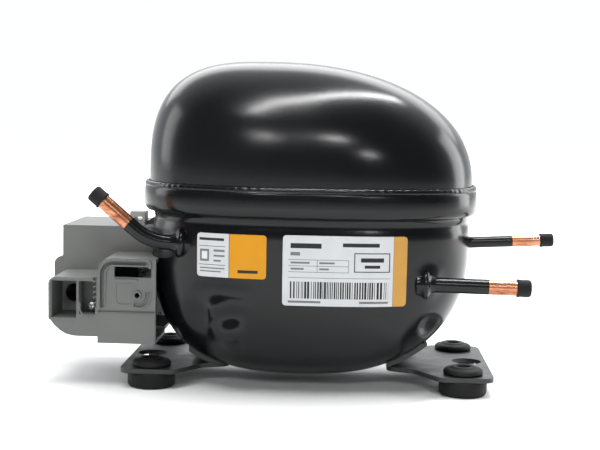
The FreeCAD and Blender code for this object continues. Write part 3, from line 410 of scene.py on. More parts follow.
def rounded_rect(left, right, bottom, top, radii, steps=6):
    """Outline with its own radius at each corner, from the bottom left and on to the right."""
    centres = (
        (left + radii[0], bottom + radii[0], 180.0, radii[0]),
        (right - radii[1], bottom + radii[1], 270.0, radii[1]),
        (right - radii[2], top - radii[2], 0.0, radii[2]),
        (left + radii[3], top - radii[3], 90.0, radii[3]),
    )
    points = []
    for across, up, first, radius in centres:
        count = steps if radius > 0.05 else 1
        for step in range(count):
            turn = math.radians(first + 90.0 * step / max(1, count - 1))
            points.append((across + radius * math.cos(turn), up + radius * math.sin(turn)))
    return points


def prism(shape, outline, front, back):
    """Extrude an XZ outline from one Y to another."""
    rings = [[Vector((x, y, z)) for x, z in outline] for y in (front, back)]
    bridge_rings(shape, rings)


# --- Shell surfaces ---

# Superellipse exponents of the side profiles: left, right and front or back.
BOWL_CURVES = (2.9, 2.3, 2.5)
CROWN_CURVES = (3.05, 2.2, 2.4)


def shrink(share, exponent):
    """How much of its full extent a superellipse keeps at a share of its height."""
    return max(0.0, 1.0 - share ** exponent) ** (1.0 / exponent)


def outline_point(ends, angle, height):
    """Point of a superellipse outline; ends are left, right and half depth."""
    left, right, half_depth = ends
    across = math.copysign(abs(math.cos(angle)) ** (2.0 / PLAN_EXPONENT), math.cos(angle))
    along = math.copysign(abs(math.sin(angle)) ** (2.0 / PLAN_EXPONENT), math.sin(angle))
    centre = (left + right) / 2.0
    return Vector((centre + (right - left) / 2.0 * across, half_depth * along, height))


def plan_angle(step):
    """Angle of one step round the outline, evened out along the superellipse."""
    even = 2.0 * math.pi * step / AROUND
    power = PLAN_EXPONENT / 2.0
    across = math.copysign(abs(math.cos(even)) ** power, math.cos(even))
    along = math.copysign(abs(math.sin(even)) ** power, math.sin(even))
    return math.atan2(along, across)


def bowl_ends(height, growth=0.0):
    """Left, right and half depth of the bowl at a height."""
    depth = BOWL_SHOULDER - BOWL_FLOOR + growth
    share = min(1.0, max(0.0, (BOWL_SHOULDER - height) / depth))
    left, right, front = (shrink(share, exponent) for exponent in BOWL_CURVES)
    return (-(BOWL_LEFT + growth) * left, (BOWL_RIGHT + growth) * right,
            (BOWL_HALF_DEPTH + growth) * front)


def ring_ends(growth=0.0):
    """Left, right and half depth of the lid's skirt, offset outwards."""
    return (LID_LEFT - growth, LID_RIGHT + growth, LID_HALF_DEPTH + growth)


def crown_ends(share, growth=0.0):
    """Left, right and half depth of the lid's crown at a share of its height."""
    left, right, front = (shrink(share, exponent) for exponent in CROWN_CURVES)
    return (CROWN_PEAK - (CROWN_PEAK - LID_LEFT + growth) * left,
            CROWN_PEAK + (LID_RIGHT - CROWN_PEAK + growth) * right,
            (LID_HALF_DEPTH + growth) * front)


def bowl_front(across, height, growth=0.0):
    """Y of the bowl's front wall over a point."""
    left, right, half_depth = bowl_ends(height, growth)
    centre = (left + right) / 2.0
    share = min(1.0, abs(across - centre) / max(1.0, (right - left) / 2.0))
    return -half_depth * (1.0 - share ** PLAN_EXPONENT) ** (1.0 / PLAN_EXPONENT)


def soft_spot(share):
    """Smooth bump of height 1 that ends at a share of 1."""
    share = min(1.0, share)
    return (1.0 - share * share) ** 2


def smooth_step(value, low, high):
    """Smooth rise from 0 to 1 between two values."""
    share = min(1.0, max(0.0, (value - low) / (high - low)))
    return share * share * (3.0 - 2.0 * share)


def oval_distance(point, middle, reach):
    """Distance from a middle, in shares of each axis's reach."""
    return math.sqrt(sum(((point[axis] - middle[axis]) / reach[axis]) ** 2
                         for axis in range(3)))


# Places where the stub tubes leave the bowl, and the sizes of the tubes.
SUCTION_ROOT = (64.0, -51.6, 61.8)
DISCHARGE_ROOT = (87.0, -5.0, 79.7)
PROCESS_ROOT = (-66.0, -49.3, 80.3)
WIDE_OUTER, WIDE_BORE = 4.05, 3.25
SLIM_OUTER, SLIM_BORE = 3.175, 2.47
CLAMP_SCREW_X, CLAMP_SCREW_Z = -117.6, 43.8
BOSS_CENTRE = (-91.4, 51.0)

# Pressed features of the bowl: middle, reach along X, Y and Z, and height out of the wall.
PRESSINGS = (
    (SUCTION_ROOT, (12.5, 14.0, 12.5), 2.2),
    ((87.0, -5.0, 79.8), (30.0, 12.0, 11.0), 1.4),
    (PROCESS_ROOT, (16.0, 16.0, 12.0), 1.4),
    ((-46.3, -62.0, 55.5), (23.0, 40.0, 9.5), -3.4),
    ((-40.5, -62.0, 43.5), (11.0, 40.0, 8.5), -3.0),
    ((-58.0, -58.0, 42.0), (11.0, 38.0, 16.0), -2.6),
    ((-48.8, -60.0, 40.0), (3.4, 38.0, 20.0), 1.5),
    ((-40.0, -56.0, 31.5), (12.0, 38.0, 10.0), 3.0),
    ((-37.3, -50.0, 27.0), (5.0, 38.0, 4.4), -3.2),
    ((48.0, -46.0, 24.0), (11.0, 26.0, 20.0), 1.9),
    ((66.5, -40.0, 36.5), (8.5, 34.0, 10.0), -3.2),
    ((-52.0, 46.0, 24.0), (14.0, 26.0, 20.0), 1.6),
    ((48.5, 46.0, 24.0), (14.0, 26.0, 20.0), 1.6),
    ((0.0, 62.0, 46.0), (30.0, 20.0, 18.0), -2.0),
)


def pressing(point):
    """How far the wall stands out at a point of the bowl."""
    total = 0.0
    for middle, reach, rise in PRESSINGS:
        total += rise * soft_spot(oval_distance(point, middle, reach))
    return total


def pressed_ring(height, growth):
    """One ring of the bowl with its pressings."""
    ring = []
    for step in range(AROUND):
        point = outline_point(bowl_ends(height, growth), plan_angle(step), height)
        ahead = outline_point(bowl_ends(height, growth + 1.0), plan_angle(step), height)
        outward = (ahead - point)
        outward.z = -0.4 * smooth_step(BOWL_SHOULDER - height, 10.0, 70.0)
        ring.append(point + outward.normalized() * pressing(point))
    return ring


def build_lower_shell():
    """Deep-drawn bowl: floor, pressed wall, drawn-in neck, expanded rim and the inner wall."""
    shape = bmesh.new()
    steps = 54
    first_angle = 0.04

    def bowl_heights(growth):
        depth = BOWL_SHOULDER - BOWL_FLOOR + growth
        return [BOWL_SHOULDER - depth * math.cos(first_angle + (math.pi / 2 - first_angle)
                * step / steps) for step in range(steps + 1)]

    def rim(profile):
        return [[outline_point(ring_ends(growth), plan_angle(step), height)
                 for step in range(AROUND)] for growth, height in profile]

    def neck(growth, draw):
        rings = []
        for height in (84.0, 87.5, 90.0, 92.0, NECK - 1.5, NECK + 0.4):
            pinch = draw * math.exp(-((height - 92.0) / 2.6) ** 2)
            rings.append([outline_point(bowl_ends(height, growth - pinch), plan_angle(step),
                                        height) for step in range(AROUND)])
        return rings

    outer = [pressed_ring(height, 0.0) for height in bowl_heights(0.0)]
    outer += neck(0.0, 1.1)
    outer += rim(((RING_LAP - 1.9, RING_BOTTOM - 1.8), (RING_LAP - 0.7, RING_BOTTOM - 0.6),
                  (RING_LAP - 0.1, RING_BOTTOM + 1.2), (RING_LAP, RING_BOTTOM + 3.6),
                  (RING_LAP - 0.12, RING_BOTTOM + 6.8), (RING_LAP - 0.3, RING_TOP - 2.0),
                  (RING_LAP - 0.7, RING_TOP - 0.6), (RING_LAP - 1.4, RING_TOP),
                  (0.06, RING_TOP), (0.06, RING_BOTTOM + 1.0)))
    inner = neck(-WALL, 0.0)[::-1]
    inner += [pressed_ring(height, -WALL) for height in reversed(bowl_heights(-WALL))]
    bridge_rings(shape, outer + inner)
    item = finish_mesh("lower_shell_skin", shape, ["shell_paint"], 60.0)
    return piece(item, "shell", "shell_paint", "lower_shell")


def build_upper_shell():
    """Domed lid with a constant wall, open below."""
    shape = bmesh.new()
    steps = 44
    last_angle = math.radians(88.6)
    skirt = (LID_LOW[2], LID_LOW[2] + 4.0, RING_TOP - 3.0, RING_TOP + 0.8)

    def rings(growth):
        made = [[outline_point(ring_ends(growth), plan_angle(step), height)
                 for step in range(AROUND)] for height in skirt]
        for stage in range(steps + 1):
            share = math.sin(last_angle * stage / steps)
            height = CROWN_BASE + (CROWN_HEIGHT + growth) * share
            made.append([outline_point(crown_ends(share, growth), plan_angle(step), height)
                         for step in range(AROUND)])
        return made

    inner = rings(-WALL)
    bridge_rings(shape, inner[::-1] + rings(0.0))
    item = finish_mesh("upper_shell_skin", shape, ["shell_paint"], 60.0)
    return piece(item, "shell", "shell_paint", "upper_shell")


def build_seam_weld():
    """Rippled weld bead between rim and lid, painted over."""
    shape = bmesh.new()
    draw = random.Random(7)
    steps = 520
    ripple = [draw.uniform(-0.14, 0.14) for _ in range(steps)]
    rings = []
    for step in range(steps):
        angle = plan_angle(step * AROUND / steps)
        swell = (ripple[step] + ripple[step - 1] + ripple[step - 2]) / 3.0
        beat = 0.1 * math.sin(step * 2.0 * math.pi / 4.0)
        base = outline_point(ring_ends(1.05), angle, RING_TOP + 0.1)
        out = (outline_point(ring_ends(2.05), angle, RING_TOP + 0.1) - base).normalized()
        ring = []
        for corner in range(12):
            turn = 2.0 * math.pi * corner / 12
            radius = 1.42 + swell + beat
            ring.append(base + out * (radius * math.cos(turn))
                        + Vector((0, 0, 1.35 * radius * math.sin(turn))))
        rings.append(ring)
    bridge_rings(shape, rings, loop=True)
    item = finish_mesh("seam_weld_bead", shape, ["shell_paint"], 180.0)
    return piece(item, "shell", "shell_paint", "seam_weld")


# --- Labels, laid on the bowl's wall ---

RATING_LAYOUT = (
    ("film_amber", 57.5, 0.0, 64.5, 37.0),
    ("ink_grey", 57.3, 0.0, 57.5, 37.0),
    ("ink_grey", 3.0, 12.4, 34.0, 12.7), ("ink_grey", 3.0, 15.6, 34.0, 15.9),
    ("ink_grey", 3.0, 18.8, 34.0, 19.1), ("ink_grey", 3.0, 21.8, 56.0, 22.1),
    ("ink_grey", 17.8, 12.4, 18.1, 19.1), ("ink_grey", 34.0, 12.4, 34.3, 19.1),
    ("ink_grey", 19.0, 13.6, 27.0, 14.6), ("ink_grey", 4.2, 13.6, 14.0, 14.6),
    ("ink_grey", 4.2, 16.8, 11.0, 17.8), ("ink_grey", 19.0, 16.8, 24.0, 17.8),
    ("ink_black", 37.0, 8.6, 55.6, 9.1), ("ink_black", 37.0, 18.2, 55.6, 18.7),
    ("ink_black", 37.0, 8.6, 37.5, 18.7), ("ink_black", 55.1, 8.6, 55.6, 18.7),
    ("ink_black", 4.0, 4.0, 20.0, 6.6), ("ink_black", 31.0, 3.6, 50.0, 5.6),
    ("ink_grey", 4.0, 8.6, 9.0, 10.4), ("ink_black", 40.5, 11.2, 52.4, 13.4),
    ("ink_black", 42.5, 15.0, 50.5, 16.6), ("ink_grey", 3.0, 34.2, 20.0, 35.4),
    ("ink_grey", 40.0, 34.2, 55.0, 35.4),
)
SAFETY_LAYOUT = (
    ("film_orange", 17.4, 0.0, 37.0, 23.0),
    ("ink_black", 17.2, 0.0, 17.5, 23.0), ("ink_black", 1.2, 2.4, 14.6, 3.8),
    ("ink_black", 1.2, 6.6, 15.4, 6.9), ("ink_black", 1.2, 16.4, 15.4, 16.7),
    ("ink_grey", 1.6, 8.4, 6.6, 14.8), ("film_pale", 2.6, 9.6, 5.6, 13.6),
    ("ink_grey", 9.0, 8.4, 15.0, 9.6), ("ink_grey", 9.0, 11.2, 15.0, 12.2),
    ("ink_grey", 9.0, 13.8, 13.0, 14.8), ("ink_grey", 1.6, 18.0, 15.0, 18.7),
    ("ink_grey", 1.6, 19.7, 13.0, 20.4), ("ink_black", 22.0, 18.6, 32.6, 20.2),
)


def striped(left, top, right, bottom, seed):
    """Uneven upright bars across a field."""
    draw = random.Random(seed)
    bars = []
    across = left
    while across < right:
        width = draw.choice((0.35, 0.5, 0.8, 1.1))
        bars.append(("ink_black", across, top, min(right, across + width), bottom))
        across += width + draw.choice((0.4, 0.6, 0.9))
    return tuple(bars)


def build_label(name, node, slot, layout):
    """Film label that follows the wall, with its printed fields as separate faces."""
    low, high = box_mm(node)
    left, right, bottom, top = low[0], high[0], low[2], high[2]
    width, height = right - left, top - bottom
    materials = ["film_white"] + sorted({row[0] for row in layout})
    cuts_u = {0.0, width} | {value for row in layout for value in (row[1], row[3])}
    cuts_v = {0.0, height} | {value for row in layout for value in (row[2], row[4])}

    def fill(cuts, reach):
        values = sorted(min(value, reach) for value in cuts)
        line = [values[0]]
        for value in values[1:]:
            gap = value - line[-1]
            if gap < 0.02:
                continue
            count = max(1, math.ceil(gap / 1.6))
            start = line[-1]
            line += [start + gap * step / count for step in range(1, count + 1)]
        return line

    def corner_pull(across, down):
        """Round the corners by pulling the border inwards."""
        radius = 1.7
        side = radius - min(across, width - across)
        ends = radius - min(down, height - down)
        if side <= 0 or ends <= 0:
            return across, down
        reach = math.hypot(side, ends)
        if reach <= radius:
            return across, down
        scale = radius / reach
        across += (1 if across < width / 2 else -1) * side * (1 - scale)
        down += (1 if down < height / 2 else -1) * ends * (1 - scale)
        return across, down

    us, vs = fill(cuts_u, width), fill(cuts_v, height)
    shape = bmesh.new()
    grids = []
    for lift in (0.26, 0.06):
        grid = []
        for down in vs:
            row = []
            for across in us:
                pulled = corner_pull(across, down)
                x, z = left + pulled[0], top - pulled[1]
                skin = Vector((x, bowl_front(x, z), z))
                row.append(shape.verts.new((x, skin.y - pressing(skin) - lift, z)))
            grid.append(row)
        grids.append(grid)
    front, back = grids

    def field(across, down):
        found = 0
        for row in layout:
            if row[1] <= across <= row[3] and row[2] <= down <= row[4]:
                found = materials.index(row[0])
        return found

    for j in range(len(vs) - 1):
        for i in range(len(us) - 1):
            face = shape.faces.new((front[j][i], front[j][i + 1], front[j + 1][i + 1],
                                    front[j + 1][i]))
            face.material_index = field((us[i] + us[i + 1]) / 2, (vs[j] + vs[j + 1]) / 2)
            shape.faces.new((back[j][i], back[j + 1][i], back[j + 1][i + 1], back[j][i + 1]))
    last_v, last_u = len(vs) - 1, len(us) - 1
    for i in range(last_u):
        shape.faces.new((front[0][i], back[0][i], back[0][i + 1], front[0][i + 1]))
        shape.faces.new((front[last_v][i], front[last_v][i + 1], back[last_v][i + 1],
                         back[last_v][i]))
    for j in range(last_v):
        shape.faces.new((front[j][0], front[j + 1][0], back[j + 1][0], back[j][0]))
        shape.faces.new((front[j][last_u], back[j][last_u], back[j + 1][last_u],
                         front[j + 1][last_u]))
    return piece(finish_mesh(name, shape, materials, 60.0), "shell", slot, node)


# --- Tubes, collars, caps and grommets ---


def straight_path(start, end, steps=64):
    """Even points along a line."""
    start, end = Vector(start), Vector(end)
    return [start.lerp(end, step / steps) for step in range(steps + 1)]


def bent_path(start, corner, end, radius, steps=24):
    """Line, arc and line through a rounded corner."""
    start, corner, end = Vector(start), Vector(corner), Vector(end)
    into, out = (start - corner).normalized(), (end - corner).normalized()
    half = into.angle(out) / 2.0
    reach = radius / math.tan(half)
    centre = corner + (into + out).normalized() * (radius / math.sin(half))
    first, last = corner + into * reach - centre, corner + out * reach - centre
    arc = []
    for step in range(steps + 1):
        turned = first.normalized().slerp(last.normalized(), step / steps)
        arc.append(centre + turned * radius)
    lead = straight_path(start, arc[0], 12)[:-1]
    tail = straight_path(arc[-1], end, 30)[1:]
    return lead + arc + tail


def build_tube(name, nodes, path, outer, bore, bare):
    """Open tube along a path, painted black up to its bare end."""
    shape = bmesh.new()
    count = 32
    draw = random.Random(len(name))
    side = (path[1] - path[0]).cross(Vector((0, 0, 1))).normalized()
    frames = []
    for index, point in enumerate(path):
        ahead = path[min(index + 1, len(path) - 1)] - path[max(index - 1, 0)]
        ahead.normalize()
        side = (side - ahead * side.dot(ahead)).normalized()
        frames.append((point, side.copy(), ahead.cross(side)))

    def rings(radius, items):
        made = []
        for point, across, above in items:
            ring = []
            for step in range(count):
                turn = 2.0 * math.pi * step / count
                ring.append(point + (across * math.cos(turn) + above * math.sin(turn)) * radius)
            made.append(ring)
        return made

    skin = rings(outer, frames)
    loops = skin + rings(bore, frames[::-1])
    faces = bridge_rings(shape, loops, loop=True)
    lengths = [0.0]
    for before, after in zip(path, path[1:]):
        lengths.append(lengths[-1] + (after - before).length)
    ragged = [lengths[-1] - bare + draw.uniform(-0.3, 0.3) for _ in range(count)]
    for index, face in enumerate(faces):
        station, spoke = divmod(index, count)
        if station >= len(path) - 1 or lengths[station] >= ragged[spoke]:
            face.material_index = 1
    item = finish_mesh(name, shape, ["shell_paint", "copper"], 50.0)
    return piece(item, "shell", "copper", *nodes)


def build_collar(name, node, middle, direction, tube_radius, shift=0.0):
    """Brazed sleeve with a rounded fillet of filler at each end."""
    shape = bmesh.new()
    steps = ((0.0, -6.5), (2.0, -6.5), (2.2, -1.0), (2.7, 0.6), (3.6, 1.2), (3.9, 2.2),
             (3.6, 3.2), (2.7, 3.9), (1.7, 4.3), (1.1, 5.2), (0.6, 6.2), (0.15, 7.2), (0.0, 7.6))
    profile = [(tube_radius + wall, along if along < -6.0 else along + shift)
               for wall, along in steps]
    lathe(shape, profile, middle, direction, 40)
    item = finish_mesh(name, shape, ["shell_paint"], 50.0)
    return piece(item, "shell", "shell_paint", node)


def build_cap(name, node, body, mouth, direction, tube_radius):
    """Soft rubber cap with a rolled lip and a rounded closed end."""
    shape = bmesh.new()
    inner, outer, length = tube_radius + 0.05, tube_radius + 0.7, 7.6
    profile = [(inner, 0.0), (outer - 0.2, 0.0), (outer, 0.25), (outer, 1.1),
               (outer - 0.18, 1.5), (outer - 0.14, length - 1.3), (outer - 0.45, length - 0.45),
               (outer - 1.2, length), (outer - 2.2, length - 0.12), (0.0, length - 0.16),
               (0.0, length - 1.3), (inner, length - 1.3)]
    lathe(shape, profile, mouth, direction, 40)
    item = finish_mesh(name, shape, ["cap_rubber"], 40.0)
    return piece(item, body, "cap_rubber", node)


def build_grommet(node, across, along):
    """Turned rubber foot: base, plate groove, domed flange and bore."""
    shape = bmesh.new()
    profile = [(3.6, 0.8), (4.4, 0.0), (10.4, 0.0), (12.0, 0.35), (12.8, 1.4), (13.0, 2.8),
               (13.0, 7.2), (12.8, 8.1), (12.2, 8.6), (8.0, 8.6), (8.0, 11.1), (9.9, 11.15),
               (10.6, 11.7), (10.8, 12.6), (10.5, 13.6), (9.6, 14.3), (8.2, 14.75),
               (7.1, 14.85), (6.7, 15.3), (6.1, 15.6), (4.5, 15.6), (3.9, 15.3), (3.6, 14.7)]
    lathe(shape, profile, (across, along, 0.0), (0, 0, 1), 56)
    item = finish_mesh(node + "_rubber", shape, ["grommet_rubber"], 50.0)
    return piece(item, "shell", "grommet_rubber", node)


def build_plumbing():
    """The three stub tubes with their sleeves and caps."""
    suction = straight_path((52, -51.6, 62), (116.5, -51.6, 61))
    discharge = straight_path((74, -5, 79), (134.6, -5, 82.3))
    process = bent_path((-52, -46, 79.4), (-84.2, -53.5, 81.4), (-113.2, -53.5, 106.2), 26.0)
    for name, path, outer, bore, bare in (
            ("suction", suction, WIDE_OUTER, WIDE_BORE, 21.8),
            ("discharge", discharge, SLIM_OUTER, SLIM_BORE, 22.4),
            ("process", process, WIDE_OUTER, WIDE_BORE, 24.6)):
        nodes = [name + end for end in ("_tube", "_stub") if name + end in frame["nodes"]]
        build_tube(name + "_tube_drawn", nodes, path, outer, bore, bare)
        ahead = (path[-1] - path[-2]).normalized()
        build_cap(name + "_cap_moulded", name + "_cap", name + "_cap",
                  path[-1] - ahead * 6.6, ahead, outer)
    build_collar("suction_sleeve", "suction_collar", SUCTION_ROOT, suction[-1] - suction[0],
                 WIDE_OUTER, -4.0)
    build_collar("discharge_sleeve", "discharge_collar", DISCHARGE_ROOT,
                 discharge[-1] - discharge[0], SLIM_OUTER, -4.6)
    build_collar("process_sleeve", "process_collar", PROCESS_ROOT, process[1] - process[0],
                 WIDE_OUTER)
    for side, across in (("left", -85.0), ("right", 85.0)):
        build_grommet("grommet_front_" + side, across, -35.0)
        build_grommet("grommet_rear_" + side, across, 35.0)


# --- Electrical cover ---


def arc(centre, radius, first, last, steps=10):
    """Points of an arc in the XZ plane, angles in degrees."""
    return [(centre[0] + radius * math.cos(math.radians(first + (last - first) * step / steps)),
             centre[1] + radius * math.sin(math.radians(first + (last - first) * step / steps)))
            for step in range(steps + 1)]


def strip(path, width):
    """Outline of a band of even width along an XZ path."""
    left, right = [], []
    for index, point in enumerate(path):
        before = Vector(path[max(0, index - 1)])
        after = Vector(path[min(len(path) - 1, index + 1)])
        ahead = (after - before).normalized()
        normal = Vector((-ahead.y, ahead.x)) * width / 2.0
        left.append(tuple(Vector(point) + normal))
        right.append(tuple(Vector(point) - normal))
    return left + right[::-1]


def add_rib(name, outline, front, back, edge=0.22):
    """Small moulded rib on the cover with rounded edges."""
    shape = bmesh.new()
    prism(shape, outline, front, back)
    bmesh.ops.recalc_face_normals(shape, faces=shape.faces)
    bevel_sharp(shape, edge, 2)
    item = finish_mesh(name, shape, ["cover_plastic"], 40.0)
    return piece(item, "terminal_cover", "cover_plastic")


def carve(target, outlines):
    """Cut XZ prisms out of a mesh object; each row is outline, front and back."""
    shape = bmesh.new()
    for outline, front, back in outlines:
        prism(shape, outline, front, back)
    bmesh.ops.recalc_face_normals(shape, faces=shape.faces)
    bmesh.ops.scale(shape, vec=(MM, MM, MM), verts=shape.verts)
    mesh = bpy.data.meshes.new("carving")
    shape.to_mesh(mesh)
    shape.free()
    tool = bpy.data.objects.new("carving", mesh)
    bpy.context.scene.collection.objects.link(tool)
    modifier = target.modifiers.new("carve", "BOOLEAN")
    modifier.operation = "DIFFERENCE"
    modifier.solver = "EXACT"
    modifier.object = tool
    bpy.context.view_layer.update()
    graph = bpy.context.evaluated_depsgraph_get()
    result = bpy.data.meshes.new_from_object(target.evaluated_get(graph))
    target.modifiers.clear()
    target.data = result
    bpy.data.objects.remove(tool)


LIP_CENTRE = (-104.2, 62.2)


def build_cover():
    """Cover body from the frame, carved with its channel and grooves, edges rounded."""
    source = frame["nodes"]["terminal_cover"]
    mesh = source.data.copy()
    mesh.name = "terminal_cover_moulded"
    item = bpy.data.objects.new("terminal_cover_moulded", mesh)
    bpy.context.scene.collection.objects.link(item)
    shape = bmesh.new()
    shape.from_mesh(mesh)
    bmesh.ops.remove_doubles(shape, verts=shape.verts, dist=1e-6)
    shape.to_mesh(mesh)
    shape.free()
    channel = [(-110.4, 44.0)] + arc(LIP_CENTRE, 6.2, 180, 90) + [(-86.8, 68.4)]
    swirl = arc(BOSS_CENTRE, 5.4, -110, 20, 14)
    corner = [(-146, 66), (-146, 56.05)] + arc((-135.6, 56.0), 4.05, 180, 90) + [(-135.6, 66)]
    chin = [(-146, 20), (-146, 37.2), (-138.6, 36.6), (-136.8, 34.0), (-133.5, 31.0),
            (-130.0, 29.0), (-126.0, 28.1), (-122.0, 27.9), (-122.0, 20)]
    carve(item, (
        (strip(channel, 2.0), -46.0, -43.1),
        (strip(swirl, 2.3), -46.0, -43.6),
        (rounded_rect(-112.6, -82.2, 41.6, 42.6, (0.2,) * 4, 3), -46.0, -44.1),
        (rounded_rect(-115.4, -113.7, 44.5, 62.5, (0.3,) * 4, 3), -46.0, -43.2),
        (rounded_rect(-103.0, -93.0, 46.0, 57.2, (2.5,) * 4, 5), -46.0, -44.6),
    ))
    shoulder = [(-114, 72), (-114, 64.5)] + arc((-107.0, 64.5), 6.0, 180, 90) + [(-107.0, 72)]
    bulge = [(-147, 69), (-147, 62.6)] + arc((-140.6, 62.6), 4.4, 180, 90) + [(-140.6, 69)]
    carve(item, ((corner, -47.0, -12.4), (chin, -47.0, -12.4)))
    carve(item, ((shoulder, -47.0, -12.4), (bulge, -12.0, 47.0)))
    shape = bmesh.new()
    shape.from_mesh(item.data)
    bmesh.ops.remove_doubles(shape, verts=shape.verts, dist=2e-6)
    bmesh.ops.dissolve_limit(shape, angle_limit=math.radians(1.0), verts=shape.verts,
                             edges=shape.edges)
    shape.to_mesh(item.data)
    shape.free()
    item.data.materials.clear()
    item.data.materials.append(MATERIALS["cover_plastic"])
    rounding = item.modifiers.new("rounding", "BEVEL")
    rounding.width = 0.35 * MM
    rounding.segments = 2
    rounding.limit_method = "ANGLE"
    rounding.angle_limit = math.radians(50)
    item.data.shade_smooth()
    item.data.set_sharp_from_angle(angle=math.radians(35))
    piece(item, "terminal_cover", "cover_plastic", "terminal_cover")

    lip = [(-112.2, 43.2)] + arc(LIP_CENTRE, 8.0, 180, 90) + [(-86.9, 70.2)]
    lip += arc((-86.9, 67.9), 2.3, 80, 0, 6) + [(-84.6, 65.6)]
    add_rib("cover_lip", strip(lip, 1.6), -46.2, -42.8, 0.35)
    inner = [(-108.9, 45.5)] + arc(LIP_CENTRE, 4.7, 180, 90) + [(-88.0, 66.9)]
    add_rib("cover_inner_rib", strip(inner, 0.95), -45.7, -43.0)
    add_rib("cover_ledge", rounded_rect(-103.6, -91.0, 58.3, 59.7, (0.5,) * 4), -46.0, -44.0)
    add_rib("cover_arc_rib", strip(arc(BOSS_CENTRE, 7.2, -80, 16, 12), 0.9), -45.6, -44.0)
    add_rib("cover_lower_step", rounded_rect(-112.9, -81.9, 24.9, 40.9, (0.4,) * 4), -45.35,
            -44.0, 0.12)
    rim = [(-139.1, 37.6)] + arc((-135.6, 56.0), 3.6, 180, 90) + [(-116.6, 59.6)]
    add_rib("pocket_rim", strip(rim, 1.1), -45.6, -43.5, 0.3)
    add_rib("pocket_sill", rounded_rect(-139.4, -125.0, 36.9, 37.9, (0.3,) * 4), -45.6, -43.5)
    screw_wall = [(-123.8, 57.0), (-123.8, 47.0)]
    screw_wall += arc((CLAMP_SCREW_X, CLAMP_SCREW_Z), 5.1, 160, 300, 14)
    add_rib("clamp_bay_rib", strip(screw_wall, 0.9), -45.6, -44.0)
    for index in range(6):
        base = 45.6 + 2.9 * index
        tooth = [(-115.3, base), (-113.8, base + 0.9), (-113.8, base + 1.3),
                 (-115.3, base + 1.2)]
        add_rib("cover_tooth", tooth, -45.2, -43.6, 0.08)
    gusset = [(-97.5, 84.4), (-86.5, 84.4), (-86.5, 91.5), (-88.0, 91.5)]
    add_rib("cover_gusset", gusset, 6.5, 8.2, 0.3)
    shape = bmesh.new()
    lathe(shape, [(1.4, 0.0), (2.55, 0.0), (2.55, 1.5), (2.35, 1.8), (1.6, 1.8), (1.4, 1.6)],
          (BOSS_CENTRE[0], -44.5, BOSS_CENTRE[1]), (0, -1, 0), 32)
    piece(finish_mesh("cover_boss", shape, ["cover_plastic"]), "terminal_cover", "cover_plastic")


def build_clamp_screw():
    """Pan-head screw; its cross recess is not cut but shown as painted shade, two thin black
    bars on the head.
    """
    shape = bmesh.new()
    profile = [(0.0, 0.0), (2.6, 0.0), (2.6, 1.1), (2.3, 1.9), (1.6, 2.35), (0.0, 2.5)]
    lathe(shape, profile, (CLAMP_SCREW_X, -37.0, CLAMP_SCREW_Z), (0, -1, 0), 40)
    shank = [(0.0, 0.0), (1.4, 0.0), (1.4, 16.0), (0.0, 16.0)]
    lathe(shape, shank, (CLAMP_SCREW_X, -37.2, CLAMP_SCREW_Z), (0, 1, 0), 24)
    item = finish_mesh("clamp_screw_turned", shape, ["zinc_steel"])
    piece(item, "terminal_cover", "zinc_steel", "clamp_screw")
    # Painted shade: two thin black bars standing just proud of the head take the place of the
    # shadowed cross recess.
    shape = bmesh.new()
    for turn in (20.0, 110.0):
        spoke = [(-1.5, -0.26), (1.5, -0.26), (1.5, 0.26), (-1.5, 0.26)]
        angle = math.radians(turn)
        outline = [(CLAMP_SCREW_X + x * math.cos(angle) - z * math.sin(angle),
                    CLAMP_SCREW_Z + x * math.sin(angle) + z * math.cos(angle)) for x, z in spoke]
        prism(shape, outline, -39.56, -38.9)
    item = finish_mesh("clamp_screw_recess_painted_shade", shape, ["black_plastic"])
    piece(item, "terminal_cover", "zinc_steel")


# --- Springs inside ---


def build_springs():
    """Four real coils between the shell's pedestals and the pump."""
    shape = bmesh.new()
    turns, wire, radius = 5.5, 0.8, 5.8
    low, high = 32.0 + wire, 48.5 - wire
    steps = int(turns * 28)
    for across in (-34.0, 46.0):
        for along in (-33.0, 33.0):
            rings = []
            for step in range(steps + 1):
                share = step / steps
                closing = min(1.0, share * turns, (1.0 - share) * turns)
                eased = (share - 0.5) * (0.86 + 0.14 * closing) + 0.5
                angle = 2.0 * math.pi * turns * share
                out = Vector((math.cos(angle), math.sin(angle), 0))
                middle = Vector((across, along, low + (high - low) * eased)) + out * radius
                rings.append([middle + out * wire * math.cos(turn)
                              + Vector((0, 0, wire * math.sin(turn)))
                              for turn in (2.0 * math.pi * k / 10 for k in range(10))])
            bridge_rings(shape, rings)
    item = finish_mesh("suspension_coils", shape, ["ground_steel"], 60.0)
    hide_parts("suspension_springs")
    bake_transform(item)


# --- Camera, light and stage ---


CAMERA_PLACE = Vector((0.0222, -0.6918, 0.151))
CAMERA_YAW, CAMERA_PITCH, CAMERA_ROLL = (math.radians(angle) for angle in (-2.38, 5.29, 1.14))
CAMERA_LENS = 73.4

# Name, place in metres, width, height and power in watts.
LIGHT_TARGET = Vector((0.0, 0.0, 0.09))
LIGHTS = (
    ("key_top", (0.12, -0.08, 1.32), 1.9, 0.055, 27.0),
    ("spot_left", (-0.4, -1.6, 1.02), 0.2, 0.16, 3.6),
    ("spot_middle", (0.17, -1.6, 1.08), 0.2, 0.14, 3.4),
    ("spot_right", (0.58, -1.6, 0.7), 0.2, 0.1, 1.9),
    ("fill_left", (-1.35, 0.25, 0.5), 0.5, 0.8, 4.5),
    ("fill_right", (1.25, 0.55, 0.45), 0.6, 0.9, 9.0),
    ("back_wash", (0.0, 1.5, 1.15), 3.4, 0.8, 24.0),
)


